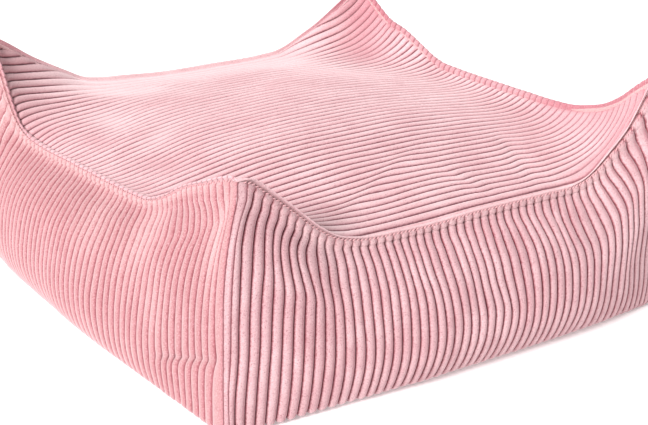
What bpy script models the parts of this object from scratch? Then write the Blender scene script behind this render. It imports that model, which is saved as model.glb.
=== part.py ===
"""A square bean bag footstool sewn from wide-ribbed corduroy.

Six pieces of cloth make it: a top panel, four side panels and a base panel. The filling pushes
the top up into a low crown and the sides out into a bulge. The top seam is a narrow standing
edge that climbs at each corner into an ear. The top panel and the filling under it are one
solid; the side panels and the base panel are sheets around it. The ribs of the sides run down,
those of the top run along X. Metres, +Z up, origin on the floor under the middle.
"""
from collections import namedtuple

import bmesh
import bpy
import numpy as np

# --- driving dimensions -----------------------------------------------------------------------
SEAM_HALF = 0.238            # half the distance between two neighbouring ear tips
RIBS_PER_PANEL = 52          # corduroy ribs across a panel, about 9.5 mm apart
RIB_RELIEF = 0.0022          # height of a rib above the groove beside it
CLOTH = 0.0020               # cloth thickness under the ribs
SEWN_GAP = 0.0004            # room between two pieces that are sewn to each other
HIDDEN_GAP = 0.0005          # room between a side panel and the filled solid behind it
LIP_WIDTH = 0.0030           # thickness of the top panel's edge where it stands up in the seam
LIP_STEP = 0.0005            # the top panel's edge ends this far under the side panel's
BASE_CLOTH = 0.0024          # thickness of the base panel
TOE_HEIGHT = 0.0030          # height of the side panel's grooves where it turns under
TUCK_CORNER = 0.0040         # how far a side panel runs under the stool at a corner
TUCK_MIDDLE = 0.0220         # and half way between two corners
FILL_TUCK = 0.0015           # the filled solid's lower edge lies this far inside that turn
FILL_STEP = 0.0080           # and this far inside it the solid comes down on the base panel
CROWN_HEIGHT = 0.1770        # height of the filled crown in the middle
SEAM_REACH = 0.0200          # distance within which the seam draws the crown to its own height

# --- how finely the shapes are cut ------------------------------------------------------------
POINTS_PER_RIB = 3           # groove, near shoulder, far shoulder
SHOULDER = 0.28              # shoulder's distance from the groove, as a share of the rib
SMOOTH_COLUMNS = 20          # columns of a plain face that lies behind a ribbed one
SKIN_CELLS = 48              # cells along a side of the grid on which the top settles
SKIN_STEPS = 400             # rounds in which it settles
SECTION_STEP = 0.02          # depth over which a section's slope is read
SAME_PLACE = 1e-6            # two points of neighbouring rows nearer than this are level
TOP_STATIONS = (0.0, 0.28, 0.52, 0.70, 0.82, 0.90, 0.96, 1.0)   # shares of a rib's half length

# Height of the top seam's ridge along each side. The share runs from one corner at -1 to the
# next at 1: along +X on the front and back, along +Y on the left and right.
SeamPoint = namedtuple("SeamPoint", "share height")
FRONT_SEAM = (
    SeamPoint(-1.000, 0.2315),
    SeamPoint(-0.950, 0.2262),
    SeamPoint(-0.890, 0.2150),
    SeamPoint(-0.790, 0.1955),
    SeamPoint(-0.665, 0.1702),
    SeamPoint(-0.590, 0.1588),
    SeamPoint(-0.500, 0.1525),
    SeamPoint(-0.300, 0.1485),
    SeamPoint(-0.140, 0.1475),
    SeamPoint(0.100, 0.1490),
    SeamPoint(0.460, 0.1485),
    SeamPoint(0.600, 0.1490),
    SeamPoint(0.675, 0.1540),
    SeamPoint(0.780, 0.1717),
    SeamPoint(0.900, 0.1990),
    SeamPoint(1.000, 0.2390),
)
RIGHT_SEAM = (
    SeamPoint(-1.000, 0.2390),
    SeamPoint(-0.920, 0.2235),
    SeamPoint(-0.840, 0.2077),
    SeamPoint(-0.750, 0.1945),
    SeamPoint(-0.660, 0.1868),
    SeamPoint(-0.567, 0.1812),
    SeamPoint(-0.450, 0.1780),
    SeamPoint(-0.265, 0.1755),
    SeamPoint(-0.050, 0.1734),
    SeamPoint(0.230, 0.1715),
    SeamPoint(0.350, 0.1720),
    SeamPoint(0.420, 0.1750),
    SeamPoint(0.536, 0.1842),
    SeamPoint(0.650, 0.1930),
    SeamPoint(0.790, 0.2005),
    SeamPoint(0.870, 0.2100),
    SeamPoint(1.000, 0.2280),
)
BACK_SEAM = (
    SeamPoint(-1.000, 0.2320),
    SeamPoint(-0.916, 0.2190),
    SeamPoint(-0.840, 0.2065),
    SeamPoint(-0.730, 0.1917),
    SeamPoint(-0.650, 0.1818),
    SeamPoint(-0.575, 0.1730),
    SeamPoint(-0.500, 0.1696),
    SeamPoint(-0.370, 0.1672),
    SeamPoint(-0.200, 0.1640),
    SeamPoint(0.100, 0.1627),
    SeamPoint(0.420, 0.1630),
    SeamPoint(0.510, 0.1648),
    SeamPoint(0.560, 0.1680),
    SeamPoint(0.650, 0.1777),
    SeamPoint(0.750, 0.1892),
    SeamPoint(0.840, 0.2025),
    SeamPoint(1.000, 0.2280),
)
LEFT_SEAM = (
    SeamPoint(-1.000, 0.2315),
    SeamPoint(-0.910, 0.2228),
    SeamPoint(-0.810, 0.2127),
    SeamPoint(-0.670, 0.1983),
    SeamPoint(-0.615, 0.1916),
    SeamPoint(-0.530, 0.1794),
    SeamPoint(-0.430, 0.1680),
    SeamPoint(-0.380, 0.1640),
    SeamPoint(-0.290, 0.1610),
    SeamPoint(-0.130, 0.1575),
    SeamPoint(0.020, 0.1554),
    SeamPoint(0.180, 0.1531),
    SeamPoint(0.340, 0.1509),
    SeamPoint(0.460, 0.1490),
    SeamPoint(0.580, 0.1485),
    SeamPoint(0.680, 0.1508),
    SeamPoint(0.760, 0.1583),
    SeamPoint(0.830, 0.1755),
    SeamPoint(0.900, 0.2000),
    SeamPoint(1.000, 0.2320),
)

# How far the filled crown falls from its middle towards its edges, at shares of the half width
# from -1 to 1 along X and along Y, where the seam does not draw it up.
CrownRow = namedtuple("CrownRow", "share along_x along_y")
CROWN_FALL = (
    CrownRow(-1.00, 0.0340, 0.0300),
    CrownRow(-0.75, 0.0175, 0.0200),
    CrownRow(-0.50, 0.0060, 0.0085),
    CrownRow(-0.25, 0.0015, 0.0005),
    CrownRow(0.00, 0.0000, 0.0000),
    CrownRow(0.25, 0.0015, 0.0023),
    CrownRow(0.50, 0.0065, 0.0062),
    CrownRow(0.75, 0.0140, 0.0115),
    CrownRow(1.00, 0.0260, 0.0180),
)

# Section through a side panel. Depth is the share of the way down from the ridge to the floor;
# corner and bulge are the shares of the outward shifts below that are reached there.
ProfileRow = namedtuple("ProfileRow", "depth corner bulge")
SIDE_PROFILE = (
    ProfileRow(0.00, 0.00, 0.00),
    ProfileRow(0.07, 0.00, 0.00),
    ProfileRow(0.16, 0.36, 0.30),
    ProfileRow(0.27, 0.72, 0.62),
    ProfileRow(0.38, 0.94, 0.82),
    ProfileRow(0.50, 1.00, 0.94),
    ProfileRow(0.62, 1.00, 1.00),
    ProfileRow(0.76, 1.00, 0.92),
    ProfileRow(0.88, 0.97, 0.68),
    ProfileRow(1.00, 0.92, 0.25),
)
SIDE_DEPTHS = (0.0, 0.07, 0.28, 0.60, 0.85)           # rows of a side panel above its toe

# How far each corner seam stands out below its ear along X and Y, and how quickly the two
# side panels that meet there swell beside it, the one facing X and the one facing Y (1 is
# slow, 4 is at once).
Corner = namedtuple("Corner", "out_x out_y swell_facing_x swell_facing_y")
FRONT_LEFT = Corner(0.019, 0.009, 1.2, 1.5)
FRONT_RIGHT = Corner(0.012, 0.012, 3.0, 3.6)
BACK_RIGHT = Corner(0.012, 0.012, 3.0, 3.0)
BACK_LEFT = Corner(0.012, 0.011, 3.0, 3.0)

# A side: its seam, the corners at its two ends, how far its middle bulges past the corners,
# how far its ridge stands above the top beside it, and the directions it runs and faces in.
Side = namedtuple("Side", "name seam start end bulge lip run face")
SIDES = (
    Side("front", FRONT_SEAM, FRONT_LEFT, FRONT_RIGHT, 0.0270, 0.0045, (1, 0), (0, -1)),
    Side("right", RIGHT_SEAM, FRONT_RIGHT, BACK_RIGHT, 0.0315, 0.0140, (0, 1), (1, 0)),
    Side("back", BACK_SEAM, BACK_LEFT, BACK_RIGHT, 0.0260, 0.0090, (1, 0), (0, 1)),
    Side("left", LEFT_SEAM, FRONT_LEFT, BACK_LEFT, 0.0280, 0.0075, (0, 1), (-1, 0)),
)

# --- colours ----------------------------------------------------------------------------------
Finish = namedtuple("Finish", "colour roughness")
SIDE_CLOTH = Finish((0.78, 0.36, 0.39, 1.0), 0.90)
TOP_CLOTH = Finish((0.84, 0.52, 0.54, 1.0), 0.88)
BASE_FABRIC = Finish((0.70, 0.38, 0.40, 1.0), 0.92)

COLLECTION = "bean_bag_footstool"


def smooth_through(rows, column, where):
    """A smooth curve through a table's rows, read at one or more places."""
    places = np.array([row[0] for row in rows])
    values = np.array([getattr(row, column) for row in rows])
    steps = np.diff(places)
    rises = np.diff(values) / steps
    slopes = np.zeros(len(places))
    slopes[0] = rises[0]
    slopes[-1] = rises[-1]
    weights = steps[1:] / (steps[1:] + steps[:-1])
    slopes[1:-1] = rises[:-1] * weights + rises[1:] * (1.0 - weights)
    level = (rises[:-1] * rises[1:]) <= 0.0
    slopes[1:-1][level] = 0.0
    cell = np.clip(np.searchsorted(places, where, side="right") - 1, 0, len(steps) - 1)
    width = steps[cell]
    t = np.clip((where - places[cell]) / width, 0.0, 1.0)
    start = (1.0 + 2.0 * t) * (1.0 - t) ** 2 * values[cell]
    start_slope = t * (1.0 - t) ** 2 * width * slopes[cell]
    end = t ** 2 * (3.0 - 2.0 * t) * values[cell + 1]
    end_slope = t ** 2 * (t - 1.0) * width * slopes[cell + 1]
    return start + start_slope + end + end_slope


def seam_height(side, share):
    """Height of a side's ridge at a share of the way from its middle to its corners."""
    return smooth_through(side.seam, "height", share)


def rib_shares():
    """Shares across a panel, -1 to 1, of every groove and shoulder of its ribs."""
    steps = (0.0, SHOULDER, 1.0 - SHOULDER)[:POINTS_PER_RIB]
    places = [(rib + step) / RIBS_PER_PANEL for rib in range(RIBS_PER_PANEL) for step in steps]
    return 2.0 * np.array(places + [1.0]) - 1.0


def rib_reliefs():
    """Height of the cloth above its grooves at each of those shares."""
    one_rib = [0.0] + [RIB_RELIEF] * (POINTS_PER_RIB - 1)
    return np.array(one_rib * RIBS_PER_PANEL + [0.0])


def runs_along_x(side):
    """Whether a side is the front or the back one."""
    return side.run == (1, 0)


def corner_shifts(side):
    """Each end's outward shift along the side and across it."""
    corners = (side.start, side.end)
    if runs_along_x(side):
        return [(corner.out_x, corner.out_y) for corner in corners]
    return [(corner.out_y, corner.out_x) for corner in corners]


def swelling(side, share):
    """Share of the full bulge reached at a place along a side."""
    corner = side.start if share < 0.0 else side.end
    power = corner.swell_facing_y if runs_along_x(side) else corner.swell_facing_x
    return 1.0 - abs(share) ** power


def side_point(side, share, depth, inset):
    """A point of a side's surface, moved in from its grooves by an inset.

    The inset shortens the side as well, so that two neighbouring sides stay mitred at the
    corner whatever their inset is.
    """
    (start_along, start_across), (end_along, end_across) = corner_shifts(side)
    reach = SEAM_HALF - inset
    to_end = 0.5 * (share + 1.0)
    corner = smooth_through(SIDE_PROFILE, "corner", depth)
    bulge = smooth_through(SIDE_PROFILE, "bulge", depth)
    along = share * reach + corner * (end_along * to_end - start_along * (1.0 - to_end))
    across = reach + corner * (end_across * to_end + start_across * (1.0 - to_end))
    across = across + side.bulge * bulge * swelling(side, share)
    height = seam_height(side, share) * (1.0 - depth)
    return along, across, height


def placed(side, along, across, height):
    """The same point in the stool's own X, Y and Z."""
    x = along * side.run[0] + across * side.face[0]
    y = along * side.run[1] + across * side.face[1]
    return (float(x), float(y), float(height))


def row_normal(side, share, depth):
    """Outward and upward parts of a side's normal, seen in a section across it."""
    upper = side_point(side, share, max(depth - SECTION_STEP, 0.0), 0.0)
    lower = side_point(side, share, min(depth + SECTION_STEP, 1.0), 0.0)
    rise = upper[2] - lower[2]
    lean = lower[1] - upper[1]
    length = np.hypot(rise, lean)
    return rise / length, lean / length


def tuck_inset(share):
    """How far under the stool a side panel reaches."""
    return TUCK_CORNER + (TUCK_MIDDLE - TUCK_CORNER) * (1.0 - share ** 2)


def side_row(side, shares, reliefs, depth, inset):
    """One row of points across a side panel, its ribs raised along the surface's normal."""
    row = []
    for share, relief in zip(shares, reliefs):
        along, across, height = side_point(side, share, depth, inset)
        outward, upward = row_normal(side, share, depth)
        row.append(placed(side, along, across + relief * outward, height + relief * upward))
    return row


def toe_row(side, shares, reliefs, inset, lift):
    """The row where a side panel turns under, its ribs raised outward and down."""
    row = []
    for share, relief in zip(shares, reliefs):
        depth = 1.0 - TOE_HEIGHT / seam_height(side, share)
        along, across, height = side_point(side, share, depth, inset)
        slant = relief * np.sqrt(0.5)
        row.append(placed(side, along, across + slant, height + lift - slant))
    return row


def tuck_row(side, shares, inset, height):
    """The edge that meets the base panel, flat on the floor."""
    row = []
    for share in shares:
        along, across, _ = side_point(side, share, 1.0, tuck_inset(share) + inset)
        row.append(placed(side, along, across, height))
    return row


def lay_rows(bm, rows):
    """Vertices for each row of points."""
    return [[bm.verts.new(point) for point in row] for row in rows]


def paces(row, axis):
    """Where each vertex of a row lies: its share of the row's count, or its place on an axis."""
    if axis is None:
        return [number / (len(row) - 1) for number in range(len(row))]
    return [vertex.co[axis] for vertex in row]


def stitch(bm, first, second, axis=None):
    """Close the strip between two rows of any counts that run the same way.

    The row that lags behind moves on, with a triangle; where both reach the same place, the
    step is a quad.
    """
    first_paces = paces(first, axis) + [float("inf")]
    second_paces = paces(second, axis) + [float("inf")]
    here = 0
    there = 0
    while here < len(first) - 1 or there < len(second) - 1:
        lead = first_paces[here + 1] - second_paces[there + 1]
        if abs(lead) < SAME_PLACE:
            bm.faces.new((first[here], first[here + 1], second[there + 1], second[there]))
            here += 1
            there += 1
        elif lead < 0.0:
            bm.faces.new((first[here], first[here + 1], second[there]))
            here += 1
        else:
            bm.faces.new((first[here], second[there + 1], second[there]))
            there += 1


def finish_material(name, finish):
    """A Principled material in a finish's colour."""
    material = bpy.data.materials.new(name)
    material.use_nodes = True
    shader = material.node_tree.nodes["Principled BSDF"]
    shader.inputs["Base Color"].default_value = finish.colour
    shader.inputs["Roughness"].default_value = finish.roughness
    shader.inputs["Metallic"].default_value = 0.0
    material.diffuse_color = finish.colour
    return material


def add_piece(bm, name, material, collection):
    """Close a mesh into an object of its own."""
    bmesh.ops.recalc_face_normals(bm, faces=bm.faces)
    bmesh.ops.triangulate(bm, faces=bm.faces)
    mesh = bpy.data.meshes.new(name)
    bm.to_mesh(mesh)
    bm.free()
    mesh.materials.append(material)
    piece = bpy.data.objects.new(name, mesh)
    collection.objects.link(piece)
    return piece


def side_panel(side, material, collection):
    """A side panel: a sheet with ribs outside, mitred at its ends and tucked under below."""
    ribbed = rib_shares() * (1.0 - SEWN_GAP / SEAM_HALF)
    reliefs = rib_reliefs()
    plain = np.linspace(-1.0, 1.0, SMOOTH_COLUMNS + 1) * (1.0 - SEWN_GAP / SEAM_HALF)
    flat = np.zeros(len(plain))
    outer = [side_row(side, ribbed, reliefs, depth, 0.0) for depth in SIDE_DEPTHS]
    outer.append(toe_row(side, ribbed, reliefs, 0.0, 0.0))
    outer.append(tuck_row(side, plain, 0.0, TOE_HEIGHT))
    inner = [side_row(side, plain, flat, depth, CLOTH) for depth in SIDE_DEPTHS]
    inner.append(toe_row(side, plain, flat, CLOTH, CLOTH))
    inner.append(tuck_row(side, plain, 0.0, TOE_HEIGHT + CLOTH))
    bm = bmesh.new()
    outer_rows = lay_rows(bm, outer)
    inner_rows = lay_rows(bm, inner)
    for rows in (outer_rows, inner_rows):
        for upper, lower in zip(rows, rows[1:]):
            stitch(bm, upper, lower)
    stitch(bm, outer_rows[0], inner_rows[0])
    stitch(bm, outer_rows[-1], inner_rows[-1])
    for end in (0, -1):
        for row in range(len(outer_rows) - 1):
            corners = (outer_rows[row][end], outer_rows[row + 1][end],
                       inner_rows[row + 1][end], inner_rows[row][end])
            bm.faces.new(corners)
    return add_piece(bm, "side_panel_" + side.name, material, collection)


def crown_height(x_shares, y_shares):
    """Height of the filled crown at places where no seam draws at it."""
    fall_x = smooth_through(CROWN_FALL, "along_x", x_shares)
    fall_y = smooth_through(CROWN_FALL, "along_y", y_shares)
    return CROWN_HEIGHT - fall_x * (1.0 - y_shares ** 2) - fall_y


def settle_skin(foot):
    """Heights over a square grid of a skin hung from the seam's foot over the filled crown.

    Each inner point moves to the mean of its four neighbours and the crown below it, which
    counts for more the shorter the seam's reach is, until the skin rests. The grid runs from
    -foot to foot along X and Y. Where two seams meet, the skin takes their mean.
    """
    shares = np.linspace(-1.0, 1.0, SKIN_CELLS + 1)
    front, right, back, left = (seam_height(side, shares) - side.lip for side in SIDES)
    skin = crown_height(shares[:, None], shares[None, :])
    crown = skin[1:-1, 1:-1].copy()
    skin[:, 0] = front
    skin[:, -1] = back
    skin[0, :] = left
    skin[-1, :] = right
    corners = ((0, 0, front, left), (-1, 0, front, right), (0, -1, back, left), (-1, -1, back, right))
    for x_end, y_end, along_x, along_y in corners:
        skin[x_end, y_end] = 0.5 * (along_x[x_end] + along_y[y_end])
    pull = (2.0 * foot / SKIN_CELLS / SEAM_REACH) ** 2
    for _ in range(SKIN_STEPS):
        neighbours = skin[:-2, 1:-1] + skin[2:, 1:-1] + skin[1:-1, :-2] + skin[1:-1, 2:]
        skin[1:-1, 1:-1] = (neighbours + pull * crown) / (4.0 + pull)
    return skin


def read_skin(skin, x_share, y_share):
    """The settled skin's height between its grid points."""
    u = np.clip((x_share + 1.0) * 0.5 * SKIN_CELLS, 0.0, SKIN_CELLS - 1e-9)
    v = np.clip((y_share + 1.0) * 0.5 * SKIN_CELLS, 0.0, SKIN_CELLS - 1e-9)
    i, j = int(u), int(v)
    u, v = u - i, v - j
    near = skin[i, j] * (1.0 - u) + skin[i + 1, j] * u
    far = skin[i, j + 1] * (1.0 - u) + skin[i + 1, j + 1] * u
    return near * (1.0 - v) + far * v


def top_row(skin, foot, x_share, edge):
    """The points of the top panel across its ribs, from the front lip to the back one.

    An edge row lies on top of the left or right lip, at the ribs' ends.
    """
    ridge = SEAM_HALF - CLOTH - HIDDEN_GAP
    x = x_share * (ridge if edge else foot)
    front, right, back, left = SIDES
    row = [(x, -ridge, seam_height(front, x_share) - LIP_STEP)]
    for y_share, relief in zip(rib_shares(), rib_reliefs()):
        height = read_skin(skin, x_share, y_share) + relief
        if edge:
            side = left if x_share < 0.0 else right
            height = seam_height(side, y_share) - LIP_STEP
        row.append((x, y_share * foot, height))
    row.append((x, ridge, seam_height(back, x_share) - LIP_STEP))
    return row


def ring(rows_of_sides):
    """Join the rows of the four sides into one closed ring, counter-clockwise from above."""
    front, right, back, left = rows_of_sides
    return front[:-1] + right[:-1] + back[::-1][:-1] + left[::-1][:-1]


def filled_top(material, collection):
    """The top panel and the filling under it, one solid with crown, ears and drawn-in seam."""
    ridge = SEAM_HALF - CLOTH - HIDDEN_GAP
    foot = ridge - LIP_WIDTH
    skin = settle_skin(foot)
    stations = [-share for share in TOP_STATIONS[:0:-1]] + list(TOP_STATIONS)
    rows = [top_row(skin, foot, -1.0, True)]
    rows += [top_row(skin, foot, share, False) for share in stations]
    rows.append(top_row(skin, foot, 1.0, True))
    bm = bmesh.new()
    top_rows = lay_rows(bm, rows)
    for first, second in zip(top_rows, top_rows[1:]):
        stitch(bm, first, second)
    rims = ([row[0] for row in top_rows], top_rows[-1],
            [row[-1] for row in top_rows], top_rows[0])

    plain = np.linspace(-1.0, 1.0, SMOOTH_COLUMNS + 1)
    flat = np.zeros(len(plain))
    inset = CLOTH + HIDDEN_GAP
    toe_lift = CLOTH + HIDDEN_GAP
    levels = [[side_row(side, plain, flat, depth, inset) for side in SIDES]
              for depth in SIDE_DEPTHS[1:]]
    levels.append([toe_row(side, plain, flat, inset, toe_lift) for side in SIDES])
    levels.append([tuck_row(side, plain, FILL_TUCK, TOE_HEIGHT + toe_lift) for side in SIDES])
    levels.append([tuck_row(side, plain, FILL_STEP, BASE_CLOTH + SEWN_GAP) for side in SIDES])
    rings = [lay_rows(bm, [ring(level)])[0] for level in levels]
    first_ring = rings[0] + rings[0][:1]
    for number, rim in enumerate(rims):
        start = number * SMOOTH_COLUMNS
        below = first_ring[start:start + SMOOTH_COLUMNS + 1]
        if number > 1:
            below = below[::-1]
        stitch(bm, rim, below, axis=number % 2)
    for upper, lower in zip(rings, rings[1:]):
        stitch(bm, upper + upper[:1], lower + lower[:1])
    bm.faces.new(rings[-1])
    return add_piece(bm, "filled_top_panel", material, collection)


def base_panel(material, collection):
    """The base panel: a flat sheet on the floor, its outline drawn in between the corners."""
    plain = np.linspace(-1.0, 1.0, SMOOTH_COLUMNS + 1)
    outline = ring([tuck_row(side, plain, SEWN_GAP, 0.0) for side in SIDES])
    bm = bmesh.new()
    sheet = bm.faces.new([bm.verts.new(point) for point in outline])
    raised = bmesh.ops.extrude_face_region(bm, geom=[sheet])["geom"]
    top_points = [item for item in raised if isinstance(item, bmesh.types.BMVert)]
    bmesh.ops.translate(bm, vec=(0.0, 0.0, BASE_CLOTH), verts=top_points)
    return add_piece(bm, "base_panel", material, collection)


def build():
    """Clear the scene and make every piece of the stool."""
    for leftover in list(bpy.data.objects):
        bpy.data.objects.remove(leftover, do_unlink=True)
    collection = bpy.data.collections.new(COLLECTION)
    bpy.context.scene.collection.children.link(collection)
    side_cloth = finish_material("ribbed_side_cloth", SIDE_CLOTH)
    filled_top(finish_material("ribbed_top_cloth", TOP_CLOTH), collection)
    for side in SIDES:
        side_panel(side, side_cloth, collection)
    base_panel(finish_material("base_cloth", BASE_FABRIC), collection)


build()
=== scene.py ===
"""The square corduroy footstool as it looks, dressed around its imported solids.

Each panel is a ribbed sheet or cushion of its own. The ribs, the beaded band along the top
seam, the neck where that band is stitched down, the stitches and the creases are all real
geometry. Pile, nap and thread are in the materials. Metres, +Z up, in the frame's own axes.
"""

import logging
import math
from dataclasses import dataclass, field
from enum import Enum

import bmesh
import bpy
import numpy as np
from mathutils import Matrix, Vector


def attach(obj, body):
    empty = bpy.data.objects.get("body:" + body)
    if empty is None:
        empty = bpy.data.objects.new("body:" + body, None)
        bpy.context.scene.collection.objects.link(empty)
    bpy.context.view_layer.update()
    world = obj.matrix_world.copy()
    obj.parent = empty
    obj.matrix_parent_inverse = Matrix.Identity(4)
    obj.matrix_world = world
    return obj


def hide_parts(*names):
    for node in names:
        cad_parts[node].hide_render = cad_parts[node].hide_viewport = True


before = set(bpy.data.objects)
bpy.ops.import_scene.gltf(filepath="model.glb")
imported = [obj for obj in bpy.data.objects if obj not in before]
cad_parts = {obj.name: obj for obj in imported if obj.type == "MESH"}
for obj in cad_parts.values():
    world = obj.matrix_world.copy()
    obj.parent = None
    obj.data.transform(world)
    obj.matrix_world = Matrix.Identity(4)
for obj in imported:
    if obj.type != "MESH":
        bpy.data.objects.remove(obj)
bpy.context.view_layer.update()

log = logging.getLogger("footstool")
Array = np.ndarray
Colour = tuple[float, float, float]

MM = 0.001
BODY = "root"

# --- sizes shared by the pieces ----------------------------------------------------------------
SEAM_HALF = 0.238            # half the distance between two neighbouring ear tips
RIBS_PER_PANEL = 54          # of a side; the top has as many at the same pitch along its cloth
RIB_PITCH = 2.0 * SEAM_HALF / RIBS_PER_PANEL
RIB_RELIEF = 3.3 * MM        # height of a rib's crest above its grooves
CORNER_FILL = 0.72           # how much the groove at each corner seam is filled out
CORNER_REACH = 4.0 * MM      # over this distance beside it
CORNER_SPREAD = 14.0 * MM    # over this one the other grooves there are shallower too
CLOTH = 2.0 * MM             # thickness of the cloth under the ribs
SEWN_GAP = 0.2 * MM          # left between two pieces that are sewn together
BAND_FADE = 14.0 * MM        # over this distance from an ear tip the band's ribs stand upright
EAR_LIP = 5.0 * MM           # height of the standing edge over the top, in the ears
EAR_SHARE = 0.78             # from this share of a side the edge goes over to that height
TIP_ROUNDING = 2.0 * MM      # how much an ear's tip is taken down, and over which distance
TIP_REACH = 3.5 * MM
FLOOR_CLEARANCE = 3.7 * MM   # a groove's height where the side runs under the stool
TOE_START = 10.0 * MM        # height at which a side begins to turn under
TOE_TURN = (3.4 * MM, 4.2 * MM)   # how far it turns in at a corner, and how much more midway
TUCK = (4.0 * MM, 18.0 * MM)      # how far it then runs under, in the same way
BASE_THICKNESS = 2.4 * MM
FILL_GAP = 0.6 * MM          # between a side panel and the filled piece behind it
FILL_DEPTHS = (0.05, 0.11, 0.18, 0.30, 0.48, 0.68, 0.84, 0.95)
FILL_LOWEST = 6.0 * MM       # height at which the filled piece turns under
FILL_UNDER = 0.86            # how far its underside reaches, as a share of its width
NECK_ROOM = 2.2 * MM         # how much further in the cloth's back lies behind the seam's neck
NECK_SHARE = 0.12            # the share of the side's depth down to which it does
BACK_DROP = 4.2 * MM         # how far below the ridge the cloth's back begins
BACK_LIFT = 2.0 * MM         # how far above its turn it ends
BACK_DEPTHS = (0.92, 0.84, 0.74, 0.62, 0.5, 0.38, 0.27, 0.16, 0.11, 0.07, 0.0)

# Where a rib is cut into columns, as shares of its width; the grooves are narrow and deep.
RIB_PHASES = (0.0, 0.05, 0.13, 0.28, 0.5, 0.72, 0.87, 0.95)
RIB_SQUARENESS = 2.4
RIB_ROUNDNESS = 0.62
GATHERED = 0.9               # how much of its squareness a rib loses where it is gathered in
LATTICE_CELLS = 128          # cells each way after which soft noise repeats


class Facing(Enum):
    """The four sides, each with the direction it runs in and the one it faces."""

    FRONT = ((1, 0), (0, -1))
    RIGHT = ((0, 1), (1, 0))
    BACK = ((1, 0), (0, 1))
    LEFT = ((0, 1), (-1, 0))

    @property
    def run(self) -> tuple[int, int]:
        """Direction along the side."""
        return self.value[0]

    @property
    def out(self) -> tuple[int, int]:
        """Direction in which the side faces."""
        return self.value[1]


@dataclass(frozen=True)
class SeamPoint:
    """Height of the top seam's ridge at a share of the half side."""

    share: float
    height: float


@dataclass(frozen=True)
class ProfileRow:
    """Shares of the corner's and the middle's outward shifts reached at a depth."""

    depth: float
    corner: float
    bulge: float


@dataclass(frozen=True)
class RibPath:
    """How far ribs run beside their even places, at a share of the side.

    Attributes:
        share: the place along the side.
        offsets: distances in millimetres, one for each of PATH_DEPTHS.
    """

    share: float
    offsets: tuple[float, ...]


@dataclass(frozen=True)
class CrownRow:
    """How far the filled crown falls from its middle at a share of the half width."""

    share: float
    along_x: float
    along_y: float


@dataclass(frozen=True)
class BandRow:
    """One row of a side panel's knobs, between the top panel's edge and the neck below.

    Attributes:
        drop: distance below the ridge, square to the seam.
        out: shift outward.
        swell: share of the rib's relief that stands up here.
        steep_swell: the same where the ridge is steep.
    """

    drop: float
    out: float
    swell: float
    steep_swell: float


@dataclass(frozen=True)
class EdgeRow:
    """One row of the top panel's standing edge, from its sewn end over the ridge to its foot.

    Attributes:
        inset: distance inside the side's face.
        fall: distance below the ridge, to which comes a share of the edge's height.
        share: that share, 1 at the foot.
        swell: share of the ribs' relief where they end on this edge.
    """

    inset: float
    fall: float
    share: float
    swell: float


@dataclass(frozen=True)
class Corner:
    """How a corner seam stands out below its ear, and how its two sides swell beside it."""

    out_x: float
    out_y: float
    swell_facing_x: float
    swell_facing_y: float


@dataclass(frozen=True)
class Crease:
    """A soft trough across a panel, which may also slide the ribs below it sideways.

    Attributes:
        along, height: its middle, in the side's own directions.
        angle: its run, in degrees above the level.
        length, width: half its length and half its width.
        depth: how deep it is; negative makes a ridge.
        slide: how far the ribs below it are moved along the side.
    """

    along: float
    height: float
    angle: float
    length: float
    width: float
    depth: float
    slide: float = 0.0


@dataclass(frozen=True)
class Dent:
    """A hollow in the top, or a hump if its depth is negative."""

    x: float
    y: float
    reach_x: float
    reach_y: float
    depth: float


@dataclass(frozen=True)
class Fold:
    """A line across the top where the ribs are pushed sideways, pressed in or flattened.

    Attributes:
        x, y: its middle.
        angle: its run, in degrees from X.
        length, width: half its length and half its width.
        slide: how far the ribs move along Y at its middle.
        depth: how deep it is.
        flat: how much the ribs are flattened there.
        tone: how much paler the top is painted there, as painted highlight, or deeper if negative,
            as painted shade.
    """

    x: float
    y: float
    angle: float
    length: float
    width: float
    slide: float = 0.0
    depth: float = 0.0
    flat: float = 0.0
    tone: float = 0.0

    def read(self, x: Array, y: Array) -> tuple[Array, Array, Array, Array]:
        """Reads the fold at places of the top.

        Args:
            x, y: the places.

        Returns:
            Its sideways push, depth, flattening and tone there.
        """
        turn = math.radians(self.angle)
        u = (x - self.x) * math.cos(turn) + (y - self.y) * math.sin(turn)
        v = (y - self.y) * math.cos(turn) - (x - self.x) * math.sin(turn)
        near = np.exp(-np.abs(u / self.length) ** 3 - (v / self.width) ** 2)
        return self.slide * near, self.depth * near, self.flat * near, self.tone * near


@dataclass(frozen=True)
class Crush:
    """A patch where the ribs are pressed flat."""

    along: float
    height: float
    reach_along: float
    reach_height: float
    amount: float


def rows_of(kind: type, *values: tuple) -> tuple:
    """A table's rows, all of one kind, from their values in the order of its fields."""
    return tuple(kind(*value) for value in values)


def column(table: tuple, name: str) -> Array:
    """One named column of a table."""
    return np.array([getattr(row, name) for row in table])


SIDE_PROFILE = rows_of(
    ProfileRow,
    (0.00, 0.00, 0.00),
    (0.05, 0.00, 0.00),
    (0.16, 0.40, 0.42),
    (0.27, 0.75, 0.74),
    (0.38, 0.94, 0.88),
    (0.50, 1.00, 0.96),
    (0.62, 1.00, 1.00),
    (0.76, 1.00, 0.92),
    (0.88, 0.97, 0.68),
    (1.00, 0.92, 0.25),
)
KNOBS = rows_of(
    BandRow,
    (2.2 * MM, -1.3 * MM, 0.05, 0.05),
    (2.3 * MM, -0.4 * MM, 0.12, 0.08),
    (2.8 * MM, 0.4 * MM, 0.24, 0.14),
    (3.7 * MM, 0.9 * MM, 0.40, 0.22),
    (5.0 * MM, 1.0 * MM, 0.60, 0.38),
    (6.6 * MM, 0.7 * MM, 0.78, 0.62),
    (8.1 * MM, 0.2 * MM, 0.82, 0.84),
    (9.4 * MM, -0.4 * MM, 0.74, 0.92),
    (10.2 * MM, -0.7 * MM, 0.66, 0.94),
)
JOINT_DROP = KNOBS[0].drop
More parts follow.
